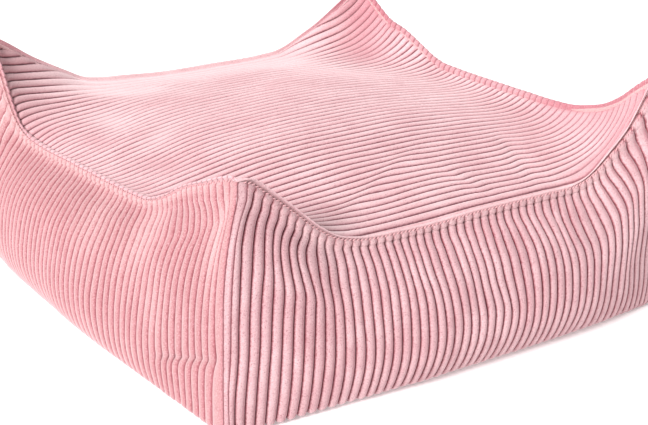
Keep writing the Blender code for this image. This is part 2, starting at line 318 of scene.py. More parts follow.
JOINT_ROW = 1                # the row of knobs along which the stitches lie
STEEP_JOINT = 0.60           # how much closer to the ridge the joint is where the ridge is steep
STEEP_LEAN = 0.5             # sine of the slope from which the ridge counts as steep
TIP_BAND = 0.45              # the band's height at the ear tips, as a share of the table's
TIP_BAND_REACH = 12.0 * MM
# Below the neck the side fills out again over this distance, and the grooves are gathered in.
NECK_REACH = 5.0 * MM
NECK_DEPTH = 0.7 * MM
NECK_SWELL = (0.66, 0.94)    # level, and where the ridge is steep
GATHER_REACH = 4.5 * MM
GATHER_DEPTH = 1.3 * MM
STEEP_NECK = 0.4             # shares of the neck's depth and of the gathers lost where it is steep
STEEP_GATHER = 0.85
GATHER_SPREAD = 0.8          # width of the gathers, as a share of their reach
WALL_SPACING = 1.08          # how much closer the rows of the side lie towards the seam
TUCK_FLATTENING = 0.6        # share of the relief that is gone at the end of the tuck
SWING = 50.0 * MM            # the ribs, square to the seam there, come upright over this one
SWING_START = 0.3            # starting at this share of it
SWING_BEND = 12.0 * MM       # and bend over this one
# The cloth wanders and swells freely this far from the ridge, an end and the floor.
FREE_BELOW = 35.0 * MM
FREE_END = 22.0 * MM
FREE_FLOOR = 20.0 * MM
SETTLED_END = 12.0 * MM      # creases and flattened patches fade out over this, at the ends
# The pile is rubbed pale down to this far below the ridge, less so near the ears.
RUBBED = 7.0 * MM
RUBBED_FADE = 4.0 * MM
RUBBED_END = 70.0 * MM
RUBBED_AT_EAR = 0.2

PATH_DEPTHS = (0.07, 0.10, 0.14, 0.24, 0.36, 0.59, 0.84, 1.00)
FRONT_PATHS = rows_of(
    RibPath,
    (-1.00, (0.0, 0.0, 0.0, 0.0, 0.0, 0.0, 0.0, 0.0)),
    (-0.93, (0.4, -1.2, -3.1, -6.5, -6.2, -5.9, -8.8, -9.2)),
    (-0.85, (-0.1, -1.4, -1.9, -3.6, -5.0, -5.7, -8.1, -8.6)),
    (-0.76, (-1.3, -3.8, -5.2, -5.5, -3.4, -4.2, -4.9, -6.2)),
    (-0.68, (-3.8, -6.6, -7.3, -4.8, -1.7, -2.0, -2.8, -3.7)),
    (-0.60, (-6.7, -5.4, -4.0, -3.9, -1.5, -0.8, -1.0, -1.5)),
    (-0.46, (-6.8, -5.8, -4.2, -2.5, -1.8, 0.5, 0.7, 1.0)),
    (-0.28, (-7.2, -7.0, -6.6, -4.9, -2.5, -0.3, 0.4, 0.6)),
    (-0.14, (-7.9, -9.4, -10.2, -9.4, -5.2, -0.7, -0.6, 0.0)),
    (0.00, (-6.2, -8.0, -8.7, -8.3, -5.9, -0.3, -0.2, 0.4)),
    (0.13, (-3.6, -5.8, -7.9, -9.4, -8.4, 0.1, 0.0, 0.0)),
    (0.26, (-2.3, -4.6, -5.6, -4.4, -3.3, -0.3, 1.6, 1.9)),
    (0.37, (-0.5, -3.6, -5.4, -3.8, -2.3, -0.8, 0.4, 2.8)),
    (0.50, (3.0, 0.2, -3.9, -5.7, -1.4, 0.8, 0.7, 2.4)),
    (0.61, (3.2, 1.1, -0.6, -0.8, 2.4, 2.4, 3.5, 6.3)),
    (0.73, (-1.3, -1.4, -0.6, 2.9, 3.8, 3.0, 6.0, 8.8)),
    (0.81, (-3.2, -2.6, -1.4, 2.0, 1.0, -1.2, 6.6, 9.0)),
    (1.00, (0.0, 0.0, 0.0, 0.0, 0.0, 0.0, 0.0, 0.0)),
)
LEFT_PATHS = rows_of(
    RibPath,
    (-1.00, (0.0, 0.0, 0.0, 0.0, 0.0, 0.0, 0.0, 0.0)),
    (-0.90, (5.0, -1.0, -6.0, -5.0, -3.0, 0.0, 2.0, 3.0)),
    (-0.80, (9.0, -2.0, -8.0, -8.0, -4.5, 0.0, 3.0, 5.0)),
    (-0.70, (9.0, 0.0, -7.0, -8.0, -5.0, 0.0, 3.0, 7.0)),
    (-0.50, (7.0, 4.0, 0.0, -4.5, -5.5, -2.0, 3.5, 6.0)),
    (-0.20, (7.0, 5.0, 2.0, -4.0, -4.5, 0.0, 3.0, 9.0)),
    (0.20, (6.0, 4.0, 1.0, -3.5, -4.0, 1.0, 4.0, 8.0)),
    (0.70, (3.0, 2.0, 0.0, -2.0, -2.0, 0.0, 2.0, 4.0)),
    (1.00, (0.0, 0.0, 0.0, 0.0, 0.0, 0.0, 0.0, 0.0)),
)

EDGE = rows_of(
    EdgeRow,
    (1.8 * MM, 2.5 * MM, 0.0, 0.0),
    (0.9 * MM, 2.4 * MM, 0.0, 0.05),
    (0.3 * MM, 1.9 * MM, 0.0, 0.12),
    (0.2 * MM, 1.3 * MM, 0.0, 0.18),
    (0.6 * MM, 0.6 * MM, 0.0, 0.22),
    (1.3 * MM, 0.15 * MM, 0.0, 0.28),
    (2.2 * MM, 0.0, 0.0, 0.40),
    (3.1 * MM, 0.3 * MM, 0.03, 0.70),
    (3.9 * MM, 0.6 * MM, 0.18, 1.00),
    (4.6 * MM, 0.7 * MM, 0.42, 1.08),
    (5.2 * MM, 0.5 * MM, 0.72, 0.85),
    (5.9 * MM, 0.2 * MM, 0.95, 0.45),
    (6.9 * MM, 0.0, 1.0, 0.30),
    (8.3 * MM, 0.0, 1.0, 0.72),
    (10.2 * MM, 0.0, 1.0, 0.98),
)
EDGE_ROWS = 12               # rows of this edge outside its foot
NARROWING = 0.68             # how much narrower the edge is where the ridge is steep
NARROW_REACH = 22.0 * MM     # and over which distance the top beside it makes up for it
NARROW_LEAN = 0.35           # sine of the slope at which the edge is as narrow as it gets
TOP_FREE = 25.0 * MM         # over this distance from its foot the top comes to wander freely
FOLDS_FREE = 12.0 * MM       # and over this one to fold freely
GREATEST_TONE = 0.9
EDGE_RIB = 90.0              # rib coordinate of the standing edge, far from the ribs' own
EDGE_PHASE = (0.2, 0.06)     # its phase at the sewn end, and how far on it is from row to row
EAR_RIBS = 5                 # ribs of the top that come in at each ear and end on its seam
RIB_END = 5.0 * MM           # such a rib sinks over this distance
LEFT_BEADS = 0.50            # how much of their height the top's rib ends keep on the left ridge
FOOT_INSET = EDGE[EDGE_ROWS].inset

CROWN_HEIGHT = 0.1770        # the filled crown's height in the middle
SEAM_REACH = 20.0 * MM       # within this distance the seam draws the crown to its own height
CROWN_FALL = rows_of(
    CrownRow,
    (-1.00, 0.0340, 0.0300),
    (-0.75, 0.0175, 0.0200),
    (-0.50, 0.0060, 0.0085),
    (-0.25, 0.0015, 0.0005),
    (0.00, 0.0000, 0.0000),
    (0.25, 0.0015, 0.0023),
    (0.50, 0.0065, 0.0062),
    (0.75, 0.0140, 0.0115),
    (1.00, 0.0260, 0.0180),
)

FRONT_LEFT = Corner(0.019, 0.009, 1.2, 1.5)
FRONT_RIGHT = Corner(0.012, 0.012, 3.0, 3.6)
BACK_RIGHT = Corner(0.012, 0.012, 3.0, 3.0)
BACK_LEFT = Corner(0.012, 0.011, 3.0, 3.0)


def smooth_through(places: Array, values: Array, where: Array) -> Array:
    """Reads a smooth curve through points.

    Args:
        places: increasing places of the points.
        values: their values.
        where: places to read, of any shape.

    Returns:
        The curve's values there.
    """
    steps = np.diff(places)
    rises = np.diff(values) / steps
    slopes = np.zeros(len(places))
    slopes[0] = rises[0]
    slopes[-1] = rises[-1]
    weights = steps[1:] / (steps[1:] + steps[:-1])
    slopes[1:-1] = rises[:-1] * weights + rises[1:] * (1.0 - weights)
    slopes[1:-1][(rises[:-1] * rises[1:]) <= 0.0] = 0.0
    cell = np.clip(np.searchsorted(places, where, side="right") - 1, 0, len(steps) - 1)
    width = steps[cell]
    t = np.clip((where - places[cell]) / width, 0.0, 1.0)
    start = (1.0 + 2.0 * t) * (1.0 - t) ** 2 * values[cell]
    start_slope = t * (1.0 - t) ** 2 * width * slopes[cell]
    end = t ** 2 * (3.0 - 2.0 * t) * values[cell + 1]
    end_slope = t ** 2 * (t - 1.0) * width * slopes[cell + 1]
    return start + start_slope + end + end_slope


def smooth_down(places: Array, table: Array, where: Array) -> Array:
    """Reads each column of a table at its own place; like smooth_through."""
    columns = [smooth_through(places, column, at) for column, at in zip(table.T, where.T)]
    return np.array(columns).T


def ease(value: Array) -> Array:
    """Smooth step from 0 to 1 as the value goes from 0 to 1."""
    t = np.clip(value, 0.0, 1.0)
    return t * t * (3.0 - 2.0 * t)


def rib_shape(phase: Array, squareness: float | Array = RIB_SQUARENESS) -> Array:
    """Share of a rib's relief at a phase across it: 0 in the grooves, 1 on the crest."""
    off_crest = np.abs(2.0 * phase - 1.0)
    return (1.0 - off_crest ** squareness) ** RIB_ROUNDNESS


def rib_columns(first: int = 0, last: int = RIBS_PER_PANEL) -> Array:
    """Rib coordinates of a panel's columns, from the first rib's groove to the last one's."""
    places = [rib + phase for rib in range(first, last) for phase in RIB_PHASES]
    return np.array(places + [float(last)])


SIDE_COLUMNS = rib_columns()
TOP_COLUMNS = rib_columns(-EAR_RIBS, RIBS_PER_PANEL + EAR_RIBS)
FROM_END = np.minimum(SIDE_COLUMNS, RIBS_PER_PANEL - SIDE_COLUMNS) * RIB_PITCH
NEAR_CORNER = np.exp(-(FROM_END / CORNER_REACH) ** 2)    # 1 at either end of a side panel
EVEN_SHARES = (2.0 * SIDE_COLUMNS / RIBS_PER_PANEL - 1.0) * (1.0 - SEWN_GAP / SEAM_HALF)


@dataclass(frozen=True)
class SoftNoise:
    """Smooth random heights over a plane, the same on each run.

    Attributes:
        number: which of a piece's heights these are.
        size: the greatest height, up or down.
        cell_a, cell_b: distance between two independent heights in each direction.
    """

    number: int
    size: float
    cell_a: float
    cell_b: float

    def read(self, seed: int, a: Array, b: Array) -> Array:
        """Reads the heights at places of the plane.

        Args:
            seed: the piece's own number.
            a, b: the places, whose arrays have one shape.

        Returns:
            The heights there.
        """
        cells = LATTICE_CELLS
        random = np.random.default_rng(seed + self.number)
        lattice = random.uniform(-1.0, 1.0, (cells, cells))
        u = a / self.cell_a + cells / 2
        v = b / self.cell_b + cells / 2
        i = np.floor(u).astype(int)
        j = np.floor(v).astype(int)
        fu = ease(u - i)
        fv = ease(v - j)
        i0, i1 = i % cells, (i + 1) % cells
        j0, j1 = j % cells, (j + 1) % cells
        near = lattice[i0, j0] * (1.0 - fu) + lattice[i1, j0] * fu
        far = lattice[i0, j1] * (1.0 - fu) + lattice[i1, j1] * fu
        return self.size * (near * (1.0 - fv) + far * fv)


# How a piece's grooves wander and its cloth lies in lumps, broadly and finely, and how its
# ribs' relief varies.
SIDE_WANDER = (SoftNoise(0, 0.9 * MM, 0.055, 0.050), SoftNoise(1, 0.45 * MM, 1.25, 0.032))
SIDE_LUMPS = (SoftNoise(2, 1.3 * MM, 0.070, 0.060), SoftNoise(3, 0.5 * MM, 0.024, 0.045))
SIDE_GAIN = SoftNoise(4, 0.10, 1.0, 0.05)
TOP_WANDER = (SoftNoise(0, 1.3 * MM, 0.060, 0.055), SoftNoise(1, 0.35 * MM, 0.045, 1.2))
TOP_LUMPS = (SoftNoise(2, 0.9 * MM, 0.080, 0.070), SoftNoise(3, 0.4 * MM, 0.045, 0.028))
TOP_GAIN = SoftNoise(4, 0.10, 0.05, 1.0)


def grid_normals(points: Array) -> Array:
    """Finds a grid's normals from each point's neighbours.

    Args:
        points: rows by columns by 3.

    Returns:
        Unit normals, one for each point.
    """
    down = np.gradient(points, axis=0)
    across = np.gradient(points, axis=1)
    normals = np.cross(across, down)
    lengths = np.linalg.norm(normals, axis=2, keepdims=True)
    return normals / np.maximum(lengths, 1e-12)


def grid_piece(name: str, points: Array) -> bpy.types.Object:
    """Adds a grid primitive and lays its points in place.

    Args:
        name: the piece's name.
        points: rows by columns by 3.

    Returns:
        The new piece, its faces in the order of the points.
    """
    rows, columns = points.shape[:2]
    bpy.ops.object.select_all(action="DESELECT")
    bpy.ops.mesh.primitive_grid_add(x_subdivisions=columns - 1, y_subdivisions=rows - 1, size=2.0)
    piece = bpy.context.object
    piece.name = name
    piece.data.name = name
    flat = np.zeros(len(piece.data.vertices) * 3, np.float32)
    piece.data.vertices.foreach_get("co", flat)
    flat = flat.reshape(-1, 3)
    column = np.rint((flat[:, 0] + 1.0) * 0.5 * (columns - 1)).astype(int)
    row = np.rint((flat[:, 1] + 1.0) * 0.5 * (rows - 1)).astype(int)
    piece.data.vertices.foreach_set("co", points[row, column].astype(np.float32).ravel())
    piece["grid_rows"] = rows
    mark_points(piece, "grid_row", row)
    mark_points(piece, "grid_column", column)
    piece.data.update()
    return piece


def mark_points(piece: bpy.types.Object, name: str, numbers: Array) -> None:
    """Stores a whole number for each point of a piece's mesh."""
    layer = piece.data.attributes.new(name, "INT", "POINT")
    layer.data.foreach_set("value", numbers.astype(np.int32))


def mark_cloth(piece: bpy.types.Object, cloth: Array) -> None:
    """Stores the cloth's own coordinates, which its material reads.

    Args:
        piece: a piece made by grid_piece.
        cloth: rows by columns by 3: rib coordinate, distance along the ribs, and how much
        paler the colour is there, or deeper if negative: rubbed and flattened pile on the sides,
        painted light and shade on the top.
    """
    mesh = piece.data
    count = len(mesh.vertices)
    row = np.zeros(count, np.int32)
    column = np.zeros(count, np.int32)
    mesh.attributes["grid_row"].data.foreach_get("value", row)
    mesh.attributes["grid_column"].data.foreach_get("value", column)
    layer = mesh.attributes.new("cloth", "FLOAT_VECTOR", "POINT")
    layer.data.foreach_set("vector", cloth[row, column].astype(np.float32).ravel())


def tidy_mesh(piece: bpy.types.Object, merge: float) -> None:
    """Merges doubles, fills open loops and turns all faces outward.

    Args:
        piece: the piece to finish.
        merge: distance under which two points become one.
    """
    for name in ("grid_row", "grid_column"):
        if name in piece.data.attributes:
            piece.data.attributes.remove(piece.data.attributes[name])
    bpy.ops.object.select_all(action="DESELECT")
    piece.select_set(True)
    bpy.context.view_layer.objects.active = piece
    bpy.ops.object.mode_set(mode="EDIT")
    bpy.ops.mesh.select_all(action="SELECT")
    bpy.ops.mesh.remove_doubles(threshold=merge)
    bpy.ops.mesh.fill_holes(sides=0)
    bpy.ops.mesh.select_all(action="SELECT")
    bpy.ops.mesh.normals_make_consistent(inside=False)
    bpy.ops.object.mode_set(mode="OBJECT")
    bpy.ops.object.shade_smooth_by_angle(angle=math.radians(60.0))


@dataclass(frozen=True)
class SideForm:
    """The smooth form of one side, without its ribs.

    Attributes:
        facing: which side it is.
        seam: the ridge, from end to end.
        start, end: the corners at its ends.
        bulge: how far it stands out in the middle.
        middle_lip: height of the standing edge over the top, midway.
        paths: how its ribs run aside.
        level_band, steep_band: the knobs' height as a share of the table's, by the ridge's slope.
        fuzz: how rubbed the pile is along the ridge.
        ridge_painted_shading: painted light and shade on the top's standing edge beside it, deeper
            where its inner face lies in shade.
        corner_soft: how far the ribs sink into the corner seams.
    """

    facing: Facing
    seam: tuple[SeamPoint, ...]
    start: Corner
    end: Corner
    bulge: float
    middle_lip: float
    paths: tuple[RibPath, ...] = ()
    level_band: float = 0.60
    steep_band: float = 0.90
    fuzz: float = 0.35
    ridge_painted_shading: float = 0.15
    corner_soft: float = 0.90

    def steepness(self, along: Array) -> Array:
        """0 where the ridge is level, 1 where it is steep."""
        return ease(np.abs(self.seam_lean(along)) / STEEP_LEAN)

    def band(self, along: Array) -> tuple[Array, Array]:
        """Reads how high the knobs and the joint below them are.

        Args:
            along: distances along the side.

        Returns:
            The knobs' height and the joint's, as shares of the table's.
        """
        steep = self.steepness(along)
        size = self.level_band + (self.steep_band - self.level_band) * steep
        tip = np.exp(-((SEAM_HALF - np.abs(along)) / TIP_BAND_REACH) ** 2)
        return size + (TIP_BAND - size) * tip, 1.0 - STEEP_JOINT * steep * (1.0 - tip)

    def slide(self, share: Array, depth: Array) -> Array:
        """Reads how far the ribs run beside their even places.

        Args:
            share: even places along the side.
            depth: shares of the way down from the ridge.

        Returns:
            Distances along the side.
        """
        if not self.paths:
            return np.zeros_like(share)
        places = column(self.paths, "share")
        offsets = column(self.paths, "offsets").T
        table = np.array([smooth_through(places, row, share) for row in offsets])
        depths = np.array(PATH_DEPTHS)
        return smooth_down(depths, table, np.clip(depth, depths[0], 1.0)[None])[0] * MM

    def seam_height(self, share: Array) -> Array:
        """Reads the ridge, a little rounded at the ear tips.

        Args:
            share: places along the side, -1 to 1.

        Returns:
            Its heights there.
        """
        places, heights = column(self.seam, "share"), column(self.seam, "height")
        height = smooth_through(places, heights, np.clip(share, -1.0, 1.0))
        from_tip = (1.0 - np.abs(share)) * SEAM_HALF
        return height - TIP_ROUNDING * np.exp(-np.maximum(from_tip, 0.0) / TIP_REACH)

    def lip(self, share: Array) -> Array:
        """Height of the ridge over the top's foot beside it."""
        into_ear = ease((np.abs(share) - EAR_SHARE) / (1.0 - EAR_SHARE))
        return self.middle_lip + (EAR_LIP - self.middle_lip) * into_ear

    def seam_lean(self, along: Array) -> Array:
        """Reads how steep the ridge is; the knobs stand upright at the ear tips.

        Args:
            along: distances along the side.

        Returns:
            Sine of its slope there.
        """
        step = 2.0 * MM
        ahead = self.seam_height((along + step) / SEAM_HALF)
        behind = self.seam_height((along - step) / SEAM_HALF)
        slope = (ahead - behind) / (2.0 * step)
        fade = ease((SEAM_HALF - np.abs(along)) / BAND_FADE)
        return fade * slope / np.sqrt(1.0 + slope ** 2)

    def shifts(self) -> tuple[tuple[float, float], tuple[float, float]]:
        """Turns the corners' shifts into the side's own directions.

        Returns:
            Each end's shift, along the side and across it.
        """
        if self.facing.run == (1, 0):
            return (self.start.out_x, self.start.out_y), (self.end.out_x, self.end.out_y)
        return (self.start.out_y, self.start.out_x), (self.end.out_y, self.end.out_x)

    def swelling(self, share: Array) -> Array:
        """Reads how far the side has swollen between its corners.

        Args:
            share: places along the side, -1 to 1.

        Returns:
            Shares of its bulge.
        """
        if self.facing.run == (1, 0):
            powers = (self.start.swell_facing_y, self.end.swell_facing_y)
        else:
            powers = (self.start.swell_facing_x, self.end.swell_facing_x)
        power = powers[0] + (powers[1] - powers[0]) * ease(0.5 + share / 0.8)
        return 1.0 - np.abs(share) ** power

    def surface(self, share: Array, height: Array | float,
                inset: Array | float) -> tuple[Array, Array]:
        """Places of the side's smooth surface.

        Args:
            share: place along the side, -1 to 1.
            height: height above the floor.
            inset: how far inside the grooves' surface, also at the mitred ends.

        Returns:
            Distances along and across the side.
        """
        depths = column(SIDE_PROFILE, "depth")
        depth = np.clip(1.0 - height / self.seam_height(share), 0.0, 1.0)
        corner = smooth_through(depths, column(SIDE_PROFILE, "corner"), depth)
        bulge = smooth_through(depths, column(SIDE_PROFILE, "bulge"), depth)
        (start_along, start_across), (end_along, end_across) = self.shifts()
        to_end = 0.5 * (share + 1.0)
        reach = SEAM_HALF - inset
        along = share * reach + corner * (end_along * to_end - start_along * (1.0 - to_end))
        across = reach + corner * (end_across * to_end + start_across * (1.0 - to_end))
        return along, across + self.bulge * bulge * self.swelling(share)

    def placed(self, along: Array, across: Array, height: Array) -> Array:
        """Puts places of the side into the frame's axes.

        Args:
            along, across, height: the places, in arrays of one shape.

        Returns:
            Points, stacked in a last dimension of 3.
        """
        run, out = self.facing.run, self.facing.out
        x = along * run[0] + across * out[0]
        y = along * run[1] + across * out[1]
        return np.stack([x, y, height], axis=-1)


FRONT = SideForm(Facing.FRONT, rows_of(
    SeamPoint,
    (-1.000, 0.2315), (-0.950, 0.2262), (-0.890, 0.2150), (-0.790, 0.1955),
    (-0.665, 0.1702), (-0.590, 0.1588), (-0.500, 0.1525), (-0.300, 0.1485),
    (-0.140, 0.1475), (0.100, 0.1490), (0.460, 0.1485), (0.600, 0.1490),
    (0.675, 0.1540), (0.780, 0.1717), (0.900, 0.1990), (1.000, 0.2390),
), FRONT_LEFT, FRONT_RIGHT, 0.0270, 4.5 * MM, FRONT_PATHS)
RIGHT = SideForm(Facing.RIGHT, rows_of(
    SeamPoint,
    (-1.000, 0.2390), (-0.920, 0.2235), (-0.840, 0.2077), (-0.750, 0.1945),
    (-0.660, 0.1868), (-0.567, 0.1812), (-0.450, 0.1780), (-0.265, 0.1755),
    (-0.050, 0.1734), (0.230, 0.1715), (0.350, 0.1720), (0.420, 0.1750),
    (0.536, 0.1842), (0.650, 0.1930), (0.790, 0.2005), (0.870, 0.2100),
    (1.000, 0.2280),
), FRONT_RIGHT, BACK_RIGHT, 0.0315, 6.0 * MM, ridge_painted_shading=-0.55)
BACK = SideForm(Facing.BACK, rows_of(
    SeamPoint,
    (-1.000, 0.2320), (-0.916, 0.2190), (-0.840, 0.2065), (-0.730, 0.1917),
    (-0.650, 0.1818), (-0.575, 0.1730), (-0.500, 0.1696), (-0.370, 0.1672),
    (-0.200, 0.1640), (0.100, 0.1627), (0.420, 0.1630), (0.510, 0.1648),
    (0.560, 0.1680), (0.650, 0.1777), (0.750, 0.1892), (0.840, 0.2025),
    (1.000, 0.2280),
), BACK_LEFT, BACK_RIGHT, 0.0260, 3.5 * MM, ridge_painted_shading=-0.55)
LEFT = SideForm(Facing.LEFT, rows_of(
    SeamPoint,
    (-1.000, 0.2315), (-0.910, 0.2228), (-0.810, 0.2127), (-0.670, 0.1983),
    (-0.615, 0.1916), (-0.530, 0.1794), (-0.430, 0.1680), (-0.380, 0.1640),
    (-0.290, 0.1610), (-0.130, 0.1575), (0.020, 0.1554), (0.180, 0.1531),
    (0.340, 0.1509), (0.460, 0.1490), (0.580, 0.1485), (0.680, 0.1508),
    (0.760, 0.1583), (0.830, 0.1755), (0.900, 0.2000), (1.000, 0.2320),
), FRONT_LEFT, BACK_LEFT, 0.0280, 6.5 * MM, LEFT_PATHS, level_band=0.48, steep_band=0.34,
    fuzz=0.52, ridge_painted_shading=-0.30, corner_soft=0.30)
SIDES = (FRONT, RIGHT, BACK, LEFT)


# --- finishes -----------------------------------------------------------------------------------
class Nodes:
    """Adds and joins the nodes of one tree."""

    def __init__(self, tree: bpy.types.NodeTree) -> None:
        """Works on a tree, which is emptied."""
        self.tree = tree
        tree.nodes.clear()

    def add(self, kind: str, settings: dict | None = None, **inputs: object) -> bpy.types.Node:
        """Adds a node.

        Args:
            kind: the node's type.
            settings: properties set on the node.
            inputs: values or sockets by input name, with _ for a space, or in{n} by number.

        Returns:
            The node.
        """
        node = self.tree.nodes.new(kind)
        for name, value in (settings or {}).items():
            setattr(node, name, value)
        for name, value in inputs.items():
            if name.startswith("in") and name[2:].isdigit():
                socket = node.inputs[int(name[2:])]
            else:
                socket = node.inputs[name.replace("_", " ")]
            if isinstance(value, bpy.types.NodeSocket):
                self.tree.links.new(value, socket)
            else:
                socket.default_value = value
        return node

    def maths(self, operation: str, *values: object, clamp: bool = False) -> bpy.types.NodeSocket:
        """Adds a Math node.

        Args:
            operation: what it does.
            values: its values or sockets, in order.
            clamp: whether the result is kept from 0 to 1.

        Returns:
            Its result.
        """
        inputs = {f"in{number}": value for number, value in enumerate(values)}
        settings = {"operation": operation, "use_clamp": clamp}
        return self.add("ShaderNodeMath", settings, **inputs).outputs[0]

    def between(self, value: object, low: float, high: float) -> bpy.types.NodeSocket:
        """Where a value stands from low, 0, to high, 1, in a smooth step."""
        settings = {"interpolation_type": "SMOOTHSTEP"}
        return self.add("ShaderNodeMapRange", settings, Value=value, From_Min=low,
                        From_Max=high).outputs["Result"]

    def mix(self, share: object, first: object, second: object) -> bpy.types.NodeSocket:
        """A mix of two colours."""
        settings = {"data_type": "RGBA", "clamp_factor": True}
        return self.add("ShaderNodeMix", settings, in0=share, in6=first, in7=second).outputs[2]

    def noise(self, place: object, scale: float, detail: float,
              roughness: float = 0.5) -> bpy.types.NodeSocket:
        """Noise heights, about 0.5 in the middle."""
        node = self.add("ShaderNodeTexNoise", {"noise_dimensions": "3D"}, Vector=place,
                        Scale=scale, Detail=detail, Roughness=roughness)
        return node.outputs["Fac"]

    def place(self) -> bpy.types.NodeSocket:
        """The place in the piece's own coordinates."""
        return self.add("ShaderNodeTexCoord").outputs["Object"]

    def shade(self, bump: tuple[object, float, float] | None = None, **inputs: object) -> None:
        """Ends a material in its shader.

        Args:
            bump: height, strength and distance of its relief.
            inputs: the shader's inputs, as in add.
        """
        if bump:
            relief = self.add("ShaderNodeBump", Height=bump[0], Strength=bump[1], Distance=bump[2])
            inputs["Normal"] = relief.outputs[0]
        shader = self.add("ShaderNodeBsdfPrincipled", **inputs)
        self.add("ShaderNodeOutputMaterial", Surface=shader.outputs[0])


def new_material(name: str) -> tuple[bpy.types.Material, Nodes]:
    """Starts a material.

    Args:
        name: its name.

    Returns:
        The material, and the board for its nodes.
    """
    made = bpy.data.materials.new(name)
    made.use_nodes = True
    return made, Nodes(made.node_tree)


def rgba(colour: Colour) -> tuple[float, float, float, float]:
    """A colour with full alpha, as sockets take it."""
    return (*colour, 1.0)


# Waves a metre of the pile's noises, and waves of its streaks across a rib and along a metre.
RAGGED_WAVES = 420.0
BROAD_WAVES = 17.0
TUFT_WAVES = 860.0
WEFT_WAVES = 1500.0
STREAK_WAVES = (0.65, 42.0)
# Where each mask goes from 0 to 1, in the phase from a groove or in its noise's heights.
GROOVE_SHADE_EDGE = (0.02, 0.19)
BROAD_EDGE = (0.34, 0.68)
STREAK_EDGE = (0.30, 0.72)
SPECK_EDGE = (0.54, 0.72)
PALE_SPECK_EDGE = (0.46, 0.30)
PILE_TIP = (1.0, 0.88, 0.89)


def pile_group() -> bpy.types.NodeTree:
    """The shader group for corduroy pile, shared by the top and the sides.

    Its inputs are the cloth's colours and how strong each effect is; it puts out the colour,
    the roughness and the height of the pile.

    Returns:
        The group, built on the first call.
    """
    name = "corduroy_pile"
    if name in bpy.data.node_groups:
        return bpy.data.node_groups[name]
    group = bpy.data.node_groups.new(name, "ShaderNodeTree")
    face = group.interface
    for labels, way, kind in (
        (("Crest", "Nap", "Groove", "Flat", "Deep"), "INPUT", "NodeSocketColor"),
        (("Nap Amount", "Speck Amount", "Groove Amount", "Brushed", "Ragged"), "INPUT",
         "NodeSocketFloat"),
        (("Colour",), "OUTPUT", "NodeSocketColor"),
        (("Roughness", "Height"), "OUTPUT", "NodeSocketFloat"),
    ):
        for label in labels:
            face.new_socket(label, in_out=way, socket_type=kind)
    board = Nodes(group)
    given = board.add("NodeGroupInput").outputs
    cloth = board.add("ShaderNodeAttribute", {"attribute_name": "cloth"}).outputs["Vector"]
    place = board.place()
    parts = board.add("ShaderNodeSeparateXYZ", in0=cloth).outputs
    phase = board.maths("FRACT", parts[0])
    to_groove = board.maths("MINIMUM", phase, board.maths("SUBTRACT", 1.0, phase))
    ragged = board.maths("SUBTRACT", board.noise(place, RAGGED_WAVES, 2.0, 0.6), 0.5)
    to_groove = board.maths("MULTIPLY_ADD", ragged, given["Ragged"], to_groove)
    # Mask of the grooves, where shade is painted.
    groove_shade_mask = board.maths("SUBTRACT", 1.0, board.between(to_groove, *GROOVE_SHADE_EDGE))
    # The cloth's third value is rubbed and flattened pile on the sides; on the top it is painted
    # light and shade, paler for painted highlight and deeper for painted shade.
    crushed = board.maths("SUBTRACT", 1.0, board.maths("ABSOLUTE", parts[2]), clamp=True)
    deeper = board.maths("MULTIPLY", parts[2], -1.0, clamp=True)

    broad = board.between(board.noise(place, BROAD_WAVES, 2.5, 0.55), *BROAD_EDGE)
    across = board.maths("MULTIPLY", parts[0], STREAK_WAVES[0])
    along = board.maths("MULTIPLY", parts[1], STREAK_WAVES[1])
    streaks = board.add("ShaderNodeCombineXYZ", in0=across, in1=along, in2=parts[2]).outputs[0]
    streak = board.between(board.noise(streaks, 1.0, 3.0, 0.6), *STREAK_EDGE)
    nap = board.maths("MULTIPLY_ADD", broad, 0.55, board.maths("MULTIPLY", streak, 0.45))
    nap = board.maths("MULTIPLY", nap, given["Nap Amount"], clamp=True)

    # One flank of each rib is painted deeper: painted shade.
    aside = board.maths("MULTIPLY", board.maths("SUBTRACT", phase, 0.5), 2.2)
    aside = board.between(board.maths("MULTIPLY", aside, given["Brushed"]), 0.0, 1.0)
    aside = board.maths("MULTIPLY", board.maths("MULTIPLY", aside, crushed), 0.66)

    tufts = board.noise(place, TUFT_WAVES, 2.0, 0.6)
    specks = board.between(tufts, *SPECK_EDGE)
    pale_specks = board.between(tufts, *PALE_SPECK_EDGE)
    colour = board.mix(nap, given["Crest"], given["Nap"])
    pale = board.maths("MULTIPLY", parts[2], 0.75, clamp=True)
    colour = board.mix(pale, colour, given["Flat"])
    # Negative tones and the shaded flank take the painted shade colour.
    colour = board.mix(deeper, colour, given["Deep"])
    colour = board.mix(aside, colour, given["Deep"])
    dark = board.maths("MULTIPLY", specks, given["Speck Amount"])
    colour = board.mix(dark, colour, given["Groove"])
    light = board.maths("MULTIPLY", given["Speck Amount"], 0.35)
    light = board.maths("MULTIPLY", pale_specks, light)
    colour = board.mix(light, colour, rgba(PILE_TIP))
    # The grooves take the groove colour: painted shade over their real depth.
    groove = board.maths("MULTIPLY", groove_shade_mask, given["Groove Amount"])
    groove = board.maths("MULTIPLY", groove, crushed, clamp=True)
    colour = board.mix(groove, colour, given["Groove"])

    weft = board.noise(place, WEFT_WAVES, 1.0, 0.5)
    height = board.maths("MULTIPLY_ADD", tufts, 0.7, board.maths("MULTIPLY", weft, 0.3))
    rough = board.maths("MULTIPLY_ADD", nap, -0.08, 0.93)
    board.add("NodeGroupOutput", Colour=colour, Roughness=rough, Height=height)
    return group


